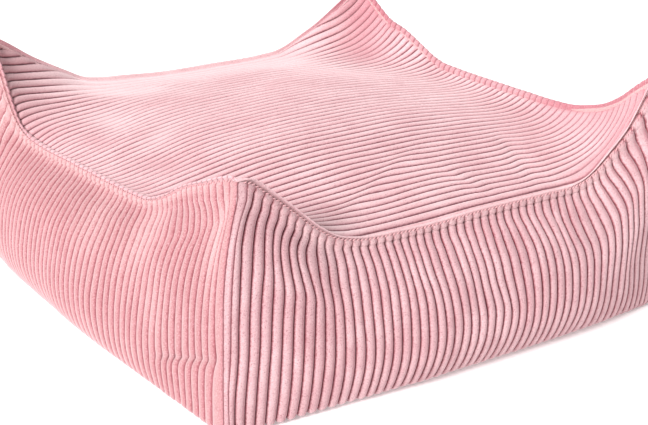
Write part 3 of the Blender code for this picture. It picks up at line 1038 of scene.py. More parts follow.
@dataclass(frozen=True)
class CorduroyFinish:
    """Ribbed pile cloth.

    Attributes:
        name: the material's name.
        crest, nap, groove: colours of the ribs, of pile that lies the other way, and of the
        painted shade in the grooves between them, which the single dark tufts take too.
        flat, deep: colours of flattened pile, which on the top is painted highlight, and of
        painted shade.
        nap_amount, speck_amount, groove_amount: how strongly the other pile, single dark
        tufts and the grooves' painted shade show.
        brushed: flank of each rib painted deeper, as painted shade: the later one, or the
        earlier if negative.
        ragged: how uneven the grooves' edges are.
        sheen, sheen_roughness, sheen_tint: the soft light that the pile's tips catch.
        bump: strength of the pile's relief.
    """

    name: str
    crest: Colour
    nap: Colour
    groove: Colour
    flat: Colour = (0.72, 0.49, 0.485)
    deep: Colour = (0.460, 0.150, 0.185)
    nap_amount: float = 0.8
    speck_amount: float = 0.55
    groove_amount: float = 0.8
    brushed: float = 1.0
    ragged: float = 0.16
    sheen: float = 1.0
    sheen_roughness: float = 0.45
    sheen_tint: Colour = (1.0, 0.84, 0.86)
    bump: float = 0.35

    def material(self) -> bpy.types.Material:
        """Builds the material.

        Returns:
            The new material.
        """
        made, board = new_material(self.name)
        pile = board.add(
            "ShaderNodeGroup", {"node_tree": pile_group()}, Crest=rgba(self.crest),
            Nap=rgba(self.nap), Groove=rgba(self.groove), Flat=rgba(self.flat),
            Deep=rgba(self.deep), Nap_Amount=self.nap_amount,
            Speck_Amount=self.speck_amount, Groove_Amount=self.groove_amount,
            Brushed=self.brushed, Ragged=self.ragged).outputs
        board.shade((pile["Height"], self.bump, 0.5 * MM), Base_Color=pile["Colour"],
                    Roughness=pile["Roughness"], Metallic=0.0, IOR=1.4,
                    Specular_IOR_Level=0.15, Sheen_Weight=self.sheen,
                    Sheen_Roughness=self.sheen_roughness, Sheen_Tint=rgba(self.sheen_tint))
        made.diffuse_color = rgba(self.crest)
        return made


@dataclass(frozen=True)
class ThreadFinish:
    """Twisted sewing thread."""

    name: str
    colour: Colour
    shade: Colour

    def material(self) -> bpy.types.Material:
        """Builds the material.

        Returns:
            The new material.
        """
        made, board = new_material(self.name)
        place = board.place()
        twist = board.add("ShaderNodeTexWave", {"bands_direction": "DIAGONAL"}, Vector=place,
                          Scale=900.0, Distortion=2.0, Detail=1.0).outputs["Fac"]
        fuzz = board.noise(place, 2200.0, 2.0)
        colour = board.mix(board.between(twist, 0.2, 0.8), rgba(self.shade), rgba(self.colour))
        height = board.maths("MULTIPLY_ADD", twist, 0.7, board.maths("MULTIPLY", fuzz, 0.3))
        board.shade((height, 0.5, 0.15 * MM), Base_Color=colour, Roughness=0.7,
                    Sheen_Weight=0.2, Specular_IOR_Level=0.3)
        return made


@dataclass(frozen=True)
class WovenFinish:
    """Plain woven cotton, for the base."""

    name: str
    colour: Colour
    shade: Colour
    threads_per_metre: float = 1100.0

    def material(self) -> bpy.types.Material:
        """Builds the material.

        Returns:
            The new material.
        """
        made, board = new_material(self.name)
        place = board.place()
        parts = board.add("ShaderNodeSeparateXYZ", in0=place).outputs
        pitch = math.pi * self.threads_per_metre
        warp = board.maths("SINE", board.maths("MULTIPLY", parts[0], pitch))
        weft = board.maths("SINE", board.maths("MULTIPLY", parts[1], pitch))
        checks = board.maths("MULTIPLY_ADD", board.maths("MULTIPLY", warp, weft), 0.5, 0.5)
        slub = board.noise(place, 60.0, 4.0, 0.6)
        tone = board.maths("MULTIPLY_ADD", checks, 0.45, board.maths("MULTIPLY", slub, 0.55))
        colour = board.mix(board.between(tone, 0.25, 0.75), rgba(self.shade), rgba(self.colour))
        board.shade((checks, 0.4, 0.3 * MM), Base_Color=colour, Roughness=0.92,
                    Sheen_Weight=0.15, Specular_IOR_Level=0.2)
        return made


SIDE_FINISH = CorduroyFinish("side_corduroy", crest=(0.560, 0.302, 0.326),
                             nap=(0.730, 0.488, 0.508), groove=(0.210, 0.022, 0.038),
                             groove_amount=0.90, brushed=1.5)
# The left and right panels get a darker copy of the side cloth: painted shade for how the light and
# the nap's sheen fall on them.
SHADED_SIDE_FINISH = CorduroyFinish("side_corduroy_turned", crest=(0.438, 0.215, 0.223),
                               nap=(0.500, 0.275, 0.281), groove=(0.250, 0.055, 0.068),
                               groove_amount=0.62, brushed=-0.8, ragged=0.46)
# The top gets a paler copy of the cloth: painted highlight for the sheen it catches, seen at a
# grazing angle.
TOP_PAINTED_SHEEN_FINISH = CorduroyFinish("top_corduroy", crest=(0.740, 0.440, 0.463),
                            nap=(0.880, 0.615, 0.632), groove=(0.180, 0.045, 0.062),
                            flat=(0.860, 0.630, 0.645), speck_amount=0.42,
                            groove_amount=0.90, brushed=-0.7)
THREAD_FINISH = ThreadFinish("seam_thread", colour=(0.800, 0.480, 0.500),
                             shade=(0.600, 0.270, 0.290))
BASE_FINISH = WovenFinish("base_cotton", colour=(0.700, 0.380, 0.400),
                          shade=(0.560, 0.270, 0.290))


# --- pieces -------------------------------------------------------------------------------------
def dress(piece: bpy.types.Object, material: bpy.types.Material, node: str) -> None:
    """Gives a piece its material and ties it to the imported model.

    Args:
        piece: the finished piece.
        material: its material.
        node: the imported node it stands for, or an empty text.
    """
    piece.data.materials.clear()
    piece.data.materials.append(material)
    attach(piece, BODY)
    if node:
        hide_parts(node)


LEFT_CREASES = (
    Crease(-0.243, 0.090, 100.0, 0.035, 3.5 * MM, 3.0 * MM),
    Crease(-0.200, 0.058, -18.0, 0.050, 6.0 * MM, 2.0 * MM, 7.0 * MM),
)
LEFT_CRUSHES = (
    Crush(-0.227, 0.180, 0.008, 0.040, 0.55),
    Crush(-0.115, 0.145, 0.022, 0.040, 0.38),
    Crush(-0.030, 0.125, 0.030, 0.030, 0.24),
    Crush(-0.150, 0.090, 0.018, 0.030, 0.22),
)


@dataclass
class SidePanel:
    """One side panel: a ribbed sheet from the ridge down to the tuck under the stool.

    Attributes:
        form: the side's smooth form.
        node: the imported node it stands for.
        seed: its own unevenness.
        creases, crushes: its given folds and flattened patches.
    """

    form: SideForm
    node: str
    seed: int
    creases: tuple[Crease, ...] = ()
    crushes: tuple[Crush, ...] = ()
    wall_rows: int = 74
    toe_rows: int = 8
    tuck_rows: int = 2
    joint: Array = field(init=False)
    gather: Array = field(init=False)

    def outer(self) -> tuple[Array, Array, Array]:
        """The ribbed face.

        Returns:
            The grooves' surface as points, the share of relief, and the cloth coordinates.
        """
        even = EVEN_SHARES
        share = even + self.form.slide(even, np.zeros_like(even)) / SEAM_HALF
        along0 = share * SEAM_HALF
        lean = self.form.seam_lean(along0)
        fall = np.sqrt(1.0 - lean ** 2)
        band, joint = self.form.band(along0)
        stands = band * (1.0 - NEAR_CORNER)
        steep = self.form.steepness(along0)
        ridge_height = self.form.seam_height(share)
        face = []
        for row in KNOBS:
            drop = JOINT_DROP * joint + (row.drop - JOINT_DROP) * band
            stand = row.swell + (row.steep_swell - row.swell) * steep
            face.append((along0 + lean * self.swung(drop), SEAM_HALF + row.out * stands,
                         ridge_height - drop * fall, stand, 0.0))
        neck_drop = JOINT_DROP * joint + (KNOBS[-1].drop - JOINT_DROP) * band
        neck_height = ridge_height - neck_drop * fall
        neck_swell = NECK_SWELL[0] + (NECK_SWELL[1] - NECK_SWELL[0]) * steep
        for step in range(1, self.wall_rows + 1):
            t = (step / self.wall_rows) ** WALL_SPACING
            level = neck_height * (1.0 - t) + TOE_START * t
            share = even + self.form.slide(even, 1.0 - level / ridge_height) / SEAM_HALF
            a, o = self.form.surface(share, level, 0.0)
            below = neck_height - level
            recover = ease(below / NECK_REACH)
            sunk = NECK_DEPTH * stands * (1.0 - recover) * (1.0 - STEEP_NECK * steep)
            drawn = np.exp(-((below / GATHER_REACH - 0.5) / GATHER_SPREAD) ** 2)
            face.append((a + lean * self.swung(neck_drop + below), o - sunk, level,
                         neck_swell + (1.0 - neck_swell) * recover, drawn))
        share = even + self.form.slide(even, np.ones_like(even)) / SEAM_HALF
        middle = 1.0 - share ** 2
        turn = TOE_TURN[0] + TOE_TURN[1] * middle
        run_under = TUCK[0] + TUCK[1] * middle
        for step in range(1, self.toe_rows + 1):
            angle = 0.5 * math.pi * step / self.toe_rows
            level = FLOOR_CLEARANCE + (TOE_START - FLOOR_CLEARANCE) * (1.0 - math.sin(angle))
            place = self.form.surface(share, level, turn * (1.0 - math.cos(angle)))
            face.append((*place, level, 1.0, 0.0))
        for step in range(1, self.tuck_rows + 1):
            done = step / self.tuck_rows
            place = self.form.surface(share, FLOOR_CLEARANCE, turn + (run_under - turn) * done)
            face.append((*place, FLOOR_CLEARANCE, 1.0 - TUCK_FLATTENING * done, 0.0))
        along, across, height, swell, gather = (
            np.array([np.broadcast_to(value, share.shape) for value in values])
            for values in zip(*face))
        self.gather = gather * stands * (1.0 - STEEP_GATHER * steep)
        return self.uneven(along, across, height, swell)

    @staticmethod
    def swung(drop: Array) -> Array:
        """How far a rib that left the seam squarely has run aside, for a lean of 1."""
        upright = ease(drop / SWING - SWING_START)
        return SWING_BEND * (1.0 - np.exp(-drop / SWING_BEND)) * (1.0 - upright)

    def uneven(self, along: Array, across: Array, height: Array,
               swell: Array) -> tuple[Array, Array, Array]:
        """Adds wandering grooves, lumps, creases and flattened patches to the smooth form.

        Args:
            along, across, height: the form's places, in the side's own directions.
            swell: share of relief there.

        Returns:
            The grooves' surface as points, the share of relief, and the cloth coordinates.
        """
        column_grid = np.broadcast_to(SIDE_COLUMNS, along.shape)
        end = SEAM_HALF * (1.0 - np.abs(EVEN_SHARES))
        below = self.form.seam_height(EVEN_SHARES) - height
        free = ease(below / FREE_BELOW) * ease(end / FREE_END) * ease(height / FREE_FLOOR)
        broad, fine = SIDE_WANDER
        wander = broad.read(self.seed, along, height) + fine.read(self.seed, column_grid, height)
        broad, fine = SIDE_LUMPS
        lumps = broad.read(self.seed, along, height) + fine.read(self.seed, along, height)
        along = along + wander * free
        across = across + lumps * free
        crushed = np.zeros_like(along)
        fuzz = self.form.fuzz * np.exp(-(np.maximum(below - RUBBED, 0.0) / RUBBED_FADE) ** 2)
        fuzz = fuzz * (RUBBED_AT_EAR + (1.0 - RUBBED_AT_EAR) * ease(end / RUBBED_END))
        off_end = ease(end / SETTLED_END)
        for crease in self.creases:
            slide, press = self.folded(crease, along, height)
            along, across = along + slide * off_end, across - press * off_end
        for crush in self.crushes:
            far = ((along - crush.along) / crush.reach_along) ** 2
            far = far + ((height - crush.height) / crush.reach_height) ** 2
            crushed = np.maximum(crushed, crush.amount * np.exp(-far))
        crushed = crushed * off_end
        gain = 1.0 + off_end * SIDE_GAIN.read(self.seed, column_grid, height)
        swell = swell * gain * (1.0 - crushed)
        cloth = np.stack([column_grid, height, np.maximum(crushed, fuzz)], axis=-1)
        return self.form.placed(along, across, height), swell, cloth

    @staticmethod
    def folded(crease: Crease, along: Array, height: Array) -> tuple[Array, Array]:
        """Reads one crease.

        Args:
            crease: the crease.
            along, height: places, in the side's own directions.

        Returns:
            How far it slides and how far it presses the side there.
        """
        turn = math.radians(crease.angle)
        da, dh = along - crease.along, height - crease.height
        u = da * math.cos(turn) + dh * math.sin(turn)
        v = -da * math.sin(turn) + dh * math.cos(turn)
        reach = np.exp(-np.abs(u / crease.length) ** 3)
        slide = 0.5 * (1.0 - np.tanh(v / crease.width))
        return crease.slide * reach * slide, crease.depth * reach * np.exp(-(v / crease.width) ** 2)

    def inner(self) -> Array:
        """Shapes the plain back of the cloth.

        Returns:
            Its rows of points, from the tuck up to the ridge.
        """
        share = EVEN_SHARES
        middle = 1.0 - share ** 2
        under = TUCK[0] + TUCK[1] * middle
        lift = FLOOR_CLEARANCE + CLOTH
        back = [(np.full_like(share, lift), under),
                (np.full_like(share, lift), TOE_TURN[0] + CLOTH + TOE_TURN[1] * middle)]
        top = self.form.seam_height(share) - BACK_DROP
        for depth in BACK_DEPTHS:
            level = np.maximum(top * (1.0 - depth), lift + BACK_LIFT)
            back.append((level, CLOTH + (NECK_ROOM if depth < NECK_SHARE else 0.0)))
        return np.array([self.form.placed(*self.form.surface(share, level, inset), level)
                         for level, inset in back])

    def build(self, material: bpy.types.Material) -> bpy.types.Object:
        """Args:
            material: its finish.

        Returns:
            The panel.
        """
        base, swell, cloth = self.outer()
        normals = grid_normals(base)
        out = np.array([*self.form.facing.out, 0.0])
        if (normals[len(normals) // 2] @ out).mean() < 0.0:
            normals = -normals
        run = np.array([*self.form.facing.run, 0.0]) * np.sign(EVEN_SHARES)[:, None]
        normals = normals + ((out + run) / math.sqrt(2.0) - normals) * NEAR_CORNER[:, None]
        normals /= np.linalg.norm(normals, axis=2, keepdims=True)
        shape = rib_shape(SIDE_COLUMNS % 1.0, RIB_SQUARENESS - GATHERED * self.gather)
        softer = self.form.corner_soft * np.exp(-(FROM_END / CORNER_SPREAD) ** 4)
        shape = shape + (1.0 - shape) * softer
        shape = shape + (CORNER_FILL - shape) * NEAR_CORNER
        relief = RIB_RELIEF * shape * swell - GATHER_DEPTH * self.gather * (1.0 - shape)
        outer = base + normals * relief[..., None]
        self.joint = outer[JOINT_ROW]
        inner = self.inner()
        points = np.concatenate([outer, inner, outer[:1]])
        backing = np.zeros(inner.shape)
        backing[..., 0] = cloth[0, :, 0]
        backing[..., 2] = 1.0
        piece = grid_piece(self.node.replace("panel", "cloth"), points)
        mark_cloth(piece, np.concatenate([cloth, backing, cloth[:1]]))
        tidy_mesh(piece, 0.01 * MM)
        dress(piece, material, self.node)
        return piece


@dataclass
class TopCushion:
    """The crowned top panel with the filling under it, one closed padded piece."""

    skin_cells: int = 96
    skin_rounds: int = 900
    station_pitch: float = 3.2 * MM
    dents: tuple[Dent, ...] = (
        Dent(-0.175, -0.205, 0.050, 0.030, -4.5 * MM),
    )
    folds: tuple[Fold, ...] = (
        Fold(-0.030, -0.160, 27, 0.100, 0.009, slide=3.0 * MM),
        Fold(0.045, -0.185, -75, 0.030, 0.010, slide=-2.5 * MM),
        Fold(0.130, -0.170, 70, 0.055, 0.011, slide=3.5 * MM),
        # From here on the tones are painted: paler is painted highlight on the back and left of the
        # crown, deeper is painted shade in the ears and by their edges.
        Fold(0.000, 0.215, -5, 0.210, 0.036, flat=0.85, tone=0.85),
        Fold(-0.110, 0.195, -35, 0.075, 0.026, flat=0.80, tone=0.75),
        Fold(-0.160, 0.125, 90, 0.040, 0.026, flat=0.65, tone=0.60),
        Fold(-0.145, 0.045, 40, 0.036, 0.020, flat=0.60, tone=0.55),
        Fold(0.232, -0.165, 90, 0.070, 0.026, flat=0.90, tone=-0.45),
        Fold(0.180, -0.120, 60, 0.060, 0.030, flat=0.00, tone=-0.25),
        Fold(0.190, -0.224, 0, 0.050, 0.012, flat=0.20, tone=-0.50),
        Fold(0.130, 0.150, -50, 0.080, 0.032, flat=0.50, tone=0.55),
        Fold(-0.215, 0.200, 45, 0.060, 0.050, flat=0.15, tone=-0.40),
        Fold(0.205, 0.195, 45, 0.070, 0.040, flat=0.20, tone=-0.90),
        Fold(-0.190, 0.095, 90, 0.030, 0.018, flat=0.20, tone=-0.35),
        Fold(-0.180, -0.010, 90, 0.030, 0.018, flat=0.20, tone=-0.35),
    )
    seed: int = 90

    @property
    def sewn(self) -> float:
        """Half width at the sewn end of the top panel."""
        return SEAM_HALF - EDGE[0].inset

    @property
    def foot(self) -> float:
        """Half width at the groove inside the standing edge."""
        return SEAM_HALF - FOOT_INSET

    def skin(self) -> Array:
        """Settles a skin hung from the seam over the filled crown.

        Returns:
            Its heights, on a grid from -foot to foot.
        """
        shares = np.linspace(-1.0, 1.0, self.skin_cells + 1)
        places = column(CROWN_FALL, "share")
        fall_x = smooth_through(places, column(CROWN_FALL, "along_x"), shares)
        fall_y = smooth_through(places, column(CROWN_FALL, "along_y"), shares)
        skin = CROWN_HEIGHT - fall_x[:, None] * (1.0 - shares[None, :] ** 2) - fall_y[None, :]
        crown = skin[1:-1, 1:-1].copy()
        front, right, back, left = (side.seam_height(shares) - side.lip(shares) for side in SIDES)
        skin[:, 0], skin[:, -1] = front, back
        skin[0, 1:-1], skin[-1, 1:-1] = left[1:-1], right[1:-1]
        pull = (2.0 * self.foot / self.skin_cells / SEAM_REACH) ** 2
        for _ in range(self.skin_rounds):
            around = skin[:-2, 1:-1] + skin[2:, 1:-1] + skin[1:-1, :-2] + skin[1:-1, 2:]
            skin[1:-1, 1:-1] = (around + pull * crown) / (4.0 + pull)
        return skin

    @property
    def nodes(self) -> Array:
        """Places of the skin's grid along either axis."""
        return np.linspace(-self.foot, self.foot, self.skin_cells + 1)

    def stations(self) -> Array:
        """Divides the ribs along their run.

        Returns:
            Places along X, from edge to edge.
        """
        edge = SEAM_HALF - column(EDGE, "inset")
        count = int(2.0 * edge[-1] / self.station_pitch)
        middle = np.linspace(-edge[-1], edge[-1], count)[1:-1]
        return np.concatenate([-edge, middle, edge[::-1]])

    def skin_at(self, x: Array) -> Array:
        """The skin's heights over the grid's nodes along Y, at places along X."""
        held = np.clip(x, -self.foot, self.foot)
        return np.array([smooth_through(self.nodes, row, held) for row in self.skin().T]).T

    def laid_ribs(self, heights: Array) -> tuple[Array, Array]:
        """Lays the ribs at an even pitch along the cloth of one section.

        Args:
            heights: the section's heights over the nodes.

        Returns:
            Each column's place along Y, and its share of the relief, none past the seam.
        """
        slope = np.gradient(heights, self.nodes)
        run = np.cumsum(np.sqrt(1.0 + slope ** 2)) * (self.nodes[1] - self.nodes[0])
        run -= np.interp(0.0, self.nodes, run)
        at = (TOP_COLUMNS - RIBS_PER_PANEL / 2) * RIB_PITCH
        left = np.minimum(at - run[0], run[-1] - at)
        return np.interp(at, run, self.nodes), ease(left / RIB_END)

    @staticmethod
    def edge_numbers(count: int, rows: int) -> Array:
        """Each place's row in the edge table, counted from either end; the last row inside."""
        number = np.arange(count)
        return np.minimum(np.minimum(number, count - 1 - number), rows)

    @staticmethod
    def nearest(x: Array, y: Array, beside: Array, values: list) -> Array:
        """Picks, of four values in the order of the sides, the one that holds at each place."""
        front, right, back, left = values
        return np.where(beside, np.where(x < 0.0, left, right), np.where(y < 0.0, front, back))

    def rises(self, x: Array, y: Array) -> tuple[Array, Array]:
        """Shapes the standing edge.

        Args:
            x, y: places of the top, stations by columns.

        Returns:
            How far it lifts each place over the skin, and its share of the ribs' relief.
        """
        last = len(EDGE) - 1
        across = self.edge_numbers(x.shape[0], last)[:, None]
        along = self.edge_numbers(x.shape[1], EDGE_ROWS)[None, :]
        along = np.where(along == EDGE_ROWS, last, along)
        side_lips = [side.lip(y / SEAM_HALF if side in (LEFT, RIGHT) else x / SEAM_HALF)
                     for side in SIDES]
        beside = across < along
        lip = self.nearest(x, y, beside, side_lips)
        bands = [side.band(y if side in (LEFT, RIGHT) else x)[1] for side in SIDES]
        closer = self.nearest(x, y, beside, bands)
        row = np.minimum(across, along)
        fall = column(EDGE, "fall")[row] * closer
        share = column(EDGE, "share")[row]
        swell = column(EDGE, "swell")[np.broadcast_to(across, x.shape)]
        swell = swell * np.where((x < 0.0) & (across < EDGE_ROWS), LEFT_BEADS, 1.0)
        return lip * (1.0 - share) - fall, swell

    def surface(self) -> tuple[Array, Array, Array]:
        """Shapes the top with its folds.

        Returns:
            The grooves' surface, the relief and the cloth coordinates, stations by columns.
        """
        stations = self.stations()
        sections = self.skin_at(stations)
        laid = [self.laid_ribs(heights) for heights in sections]
        edge_only = SEAM_HALF - column(EDGE[:EDGE_ROWS], "inset")
        y = np.array([np.concatenate([-edge_only, row, edge_only[::-1]]) for row, _ in laid])
        outside = EDGE_PHASE[0] + EDGE_PHASE[1] * np.arange(EDGE_ROWS)
        rib = np.concatenate([outside - EDGE_RIB, TOP_COLUMNS, outside[::-1] + EDGE_RIB])
        rib = np.broadcast_to(rib, y.shape)
        whole = np.pad(np.array([share for _, share in laid]), ((0, 0), (EDGE_ROWS, EDGE_ROWS)))
        x = np.broadcast_to(stations[:, None], y.shape)
        held = np.clip(y, -self.foot, self.foot)
        z = np.array([smooth_through(self.nodes, *row) for row in zip(sections, held)])
        ahead = np.clip(held + 1.0 * MM, -self.foot, self.foot)
        ahead = np.array([smooth_through(self.nodes, *row) for row in zip(sections, ahead)])
        slope = (ahead - z) / (1.0 * MM)
        rise, swell = self.rises(x, y)
        z = z + rise

        edge = SEAM_HALF - np.maximum(np.abs(x), np.abs(y))
        free = ease((edge - FOOT_INSET) / TOP_FREE)
        near_free = ease((edge - FOOT_INSET) / FOLDS_FREE)
        broad, fine = TOP_WANDER
        wander = (broad.read(self.seed, x, y) + fine.read(self.seed, x, rib)) * free
        broad, fine = TOP_LUMPS
        lumps = broad.read(self.seed, x, y) + fine.read(self.seed, x, y)
        crushed, fold_shading = np.zeros_like(x), np.zeros_like(x)
        for fold in self.folds:
            slide, press, flat, shade = fold.read(x, y)
            wander = wander + slide * near_free
            z = z - press * near_free
            crushed = np.maximum(crushed, flat)
            fold_shading = fold_shading + shade
        for dent in self.dents:
            far = ((x - dent.x) / dent.reach_x) ** 2 + ((y - dent.y) / dent.reach_y) ** 2
            z = z - dent.depth * np.exp(-far) * near_free
        z = z + lumps * free + slope * wander

        gain = 1.0 + TOP_GAIN.read(self.seed, x, rib)
        relief = rib_shape(rib % 1.0) * whole * gain * swell * (1.0 - crushed)
        narrow_x, narrow_y = self.narrowed(x, y)
        # The top's tone: painted shade on the inner faces of the standing edge, and the folds'
        # painted light and shade.
        ridge_shading = self.nearest(x, y, np.abs(x) > np.abs(y), [side.ridge_painted_shading for side in SIDES])
        tone = ridge_shading * (1.0 - ease((edge - 0.5 * FOOT_INSET) / FOOT_INSET))
        tone = np.clip(tone + fold_shading, -GREATEST_TONE, GREATEST_TONE)
        cloth = np.stack([rib, x, tone], axis=-1)
        return np.stack([narrow_x, narrow_y + wander, z], axis=-1), RIB_RELIEF * relief, cloth

    @staticmethod
    def narrowed(x: Array, y: Array) -> tuple[Array, Array]:
        """Draws the standing edge together where its ridge is steep.

        Args:
            x, y: places of the top, stations by columns.

        Returns:
            The places drawn together.
        """
        drawn = []
        for across, along, low, high in ((x, y, LEFT, RIGHT), (y, x, FRONT, BACK)):
            lean = np.where(across < 0.0, low.seam_lean(along), high.seam_lean(along))
            inset = SEAM_HALF - np.abs(across)
            fade = 1.0 - ease((inset - FOOT_INSET) / NARROW_REACH)
            steep = ease(np.abs(lean) / NARROW_LEAN)
            shift = NARROWING * steep * np.minimum(inset, FOOT_INSET) * fade
            drawn.append(across + np.sign(across) * shift)
        return drawn[0], drawn[1]

    @staticmethod
    def drawn_out(bm: bmesh.types.BMesh,
                  rim: list[bmesh.types.BMEdge]) -> list[bmesh.types.BMEdge]:
        """Extrudes an open rim in place and gives the new rim."""
        made = bmesh.ops.extrude_edge_only(bm, edges=rim)["geom"]
        return [item for item in made
                if isinstance(item, bmesh.types.BMEdge) and item.is_boundary]

    def close_below(self, piece: bpy.types.Object) -> None:
        """Carries the edge down behind the side panels and closes it above the base.

        Args:
            piece: the top's open sheet.
        """
        bm = bmesh.new()
        bm.from_mesh(piece.data)
        rim = [edge for edge in bm.edges if edge.is_boundary]
        homes: dict[bmesh.types.BMVert, tuple[SideForm, float]] = {}
        for vert in {vert for edge in rim for vert in edge.verts}:
            x, y = vert.co.x, vert.co.y
            if abs(y) >= abs(x):
                homes[vert] = (FRONT if y < 0.0 else BACK, min(max(x / self.sewn, -1.0), 1.0))
            else:
                homes[vert] = (LEFT if x < 0.0 else RIGHT, min(max(y / self.sewn, -1.0), 1.0))
        for depth in FILL_DEPTHS:
            behind = CLOTH + FILL_GAP + (NECK_ROOM if depth < NECK_SHARE else 0.0)
            rim = self.drawn_out(bm, rim)
            moved = {}
            for vert in {vert for edge in rim for vert in edge.verts}:
                above = next(edge.other_vert(vert) for edge in vert.link_edges
                             if edge.other_vert(vert) in homes)
                side, share = homes[above]
                moved[vert] = (side, share)
                level = np.maximum(side.seam_height(np.array(share)) * (1.0 - depth), FILL_LOWEST)
                along, across = side.surface(np.array(share), level, behind)
                vert.co = Vector(side.placed(along, across, level).tolist())
            homes = moved
        rim = self.drawn_out(bm, rim)
        for vert in {vert for edge in rim for vert in edge.verts}:
            vert.co = Vector((vert.co.x * FILL_UNDER, vert.co.y * FILL_UNDER,
                              BASE_THICKNESS + SEWN_GAP))
        bm.to_mesh(piece.data)
        bm.free()

    def build(self, material: bpy.types.Material) -> bpy.types.Object:
        """Args:
            material: its finish.

        Returns:
            The cushion.
        """
        base, relief, cloth = self.surface()
        normals = grid_normals(base)
        if normals[..., 2].mean() < 0.0:
            normals = -normals
        piece = grid_piece("filled_top_cloth", base + normals * relief[..., None])
        mark_cloth(piece, cloth)
        self.close_below(piece)
        tidy_mesh(piece, 0.01 * MM)
        dress(piece, material, "filled_top_panel")
        return piece


@dataclass
class BaseCloth:
    """The flat base panel, a woven sheet on the floor."""

    cells: int = 48

    def build(self, material: bpy.types.Material) -> bpy.types.Object:
        """Args:
            material: its finish.

        Returns:
            The base.
        """
        shares = np.linspace(-1.0, 1.0, self.cells + 1)
        edges = []
        for side in SIDES:
            under = TUCK[0] + TUCK[1] * (1.0 - shares ** 2) + 2.0 * SEWN_GAP
            along, across = side.surface(shares, 0.0, under)
            edges.append(side.placed(along, across, np.full_like(shares, BASE_THICKNESS)))
        front, right, back, left = edges
        u = 0.5 * (shares + 1.0)[:, None, None]
        v = 0.5 * (shares + 1.0)[None, :, None]
        points = front[:, None] * (1 - v) + back[:, None] * v + left[None] * (1 - u)
        points = points + right[None] * u - front[0] * (1 - u) * (1 - v) - front[-1] * u * (1 - v)
        points = points - back[0] * (1 - u) * v - back[-1] * u * v
        piece = grid_piece("base_cloth", points)
        if sum(face.normal.z for face in piece.data.polygons) < 0.0:
            piece.data.flip_normals()
        thick = piece.modifiers.new("thickness", "SOLIDIFY")
        thick.thickness = BASE_THICKNESS
        thick.offset = -1.0
        bpy.ops.object.modifier_apply(modifier=thick.name)
        tidy_mesh(piece, 0.001 * MM)
        dress(piece, material, "base_panel")
        return piece


LINE_STEP = 1.5 * MM         # distance, either way, over which a line's run is read
# A stitch's rings: places along it, as shares of its length, and shares of its radius.
STITCH_RINGS = ((-0.5, 0.35), (-0.25, 0.9), (0.0, 1.0), (0.25, 0.9), (0.5, 0.35))


@dataclass
class SeamStitches:
    """Stitches in the joint under the four ridges."""

    pitch: float = 4.4 * MM
    length: float = 4.0 * MM
    radius: float = 0.65 * MM
    stand_out: float = 1.1 * MM
    slant: float = 0.55

    def stitch(self) -> bpy.types.Object:
        """Models one short thread along X, bulged in the middle.

        Returns:
            The thread, to be copied.
        """
        bpy.ops.object.select_all(action="DESELECT")
        (place, girth), *others = STITCH_RINGS
        bpy.ops.mesh.primitive_circle_add(
            vertices=6, radius=girth * self.radius, fill_type="NGON",
            location=(place * self.length, 0.0, 0.0), rotation=(0.0, math.pi / 2.0, 0.0))
        stitch = bpy.context.object
        bpy.ops.object.transform_apply(location=True, rotation=True)
        bpy.ops.object.mode_set(mode="EDIT")
        bpy.ops.mesh.select_all(action="SELECT")
        for next_place, next_girth in others:
            step = ((next_place - place) * self.length, 0.0, 0.0)
            wider = next_girth / girth
            bpy.ops.mesh.extrude_region_move(TRANSFORM_OT_translate={"value": step})
            bpy.ops.transform.resize(value=(1.0, wider, wider))
            place, girth = next_place, next_girth
        bpy.ops.mesh.select_all(action="SELECT")
        bpy.ops.mesh.normals_make_consistent(inside=False)
        bpy.ops.object.mode_set(mode="OBJECT")
        return stitch

    def along(self, line: Array, lift: Vector) -> list[Matrix]:
        """Places for stitches along a line.

        Args:
            line: points of the line.
            lift: direction that the stitches face.

        Returns:
            Each stitch's place, turned by the slant from the line's run.
        """
        steps = np.linalg.norm(np.diff(line, axis=0), axis=1)
        run = np.concatenate([[0.0], np.cumsum(steps)])
        count = int(run[-1] / self.pitch)
        places = []
        for number in range(1, count - 1):
            at = (number + 0.5) * run[-1] / count
            here, ahead, behind = (
                Vector([float(np.interp(at + step, run, axis)) for axis in line.T])
                for step in (0.0, LINE_STEP, -LINE_STEP))
            forward = (ahead - behind).normalized()
            up = (lift - forward * lift.dot(forward)).normalized()
            forward = Matrix.Rotation(self.slant, 3, up) @ forward
            turn = Matrix((forward, up.cross(forward), up)).transposed().to_4x4()
            places.append(Matrix.Translation(here) @ turn)
        return places

    def build(self, panels: list[SidePanel], material: bpy.types.Material) -> bpy.types.Object:
        """Makes every stitch and joins them.

        Args:
            panels: the side panels, already built.
            material: their finish.

        Returns:
            The stitches, as one piece.
        """
        places = []
        for panel in panels:
            out = Vector((*panel.form.facing.out, 0.0))
            places += self.along(panel.joint + np.array([*out]) * self.stand_out, out)
        stitch = self.stitch()
        stitch.select_set(False)
        for place in places:
            piece = stitch.copy()
            piece.data = stitch.data.copy()
            piece.data.transform(place)
            bpy.context.scene.collection.objects.link(piece)
            piece.select_set(True)
        bpy.data.objects.remove(stitch)
        bpy.context.view_layer.objects.active = piece
        bpy.ops.object.join()
        piece.name = "seam_stitches"
        piece.data.name = piece.name
        piece.data.shade_smooth()
        dress(piece, material, "")
        return piece


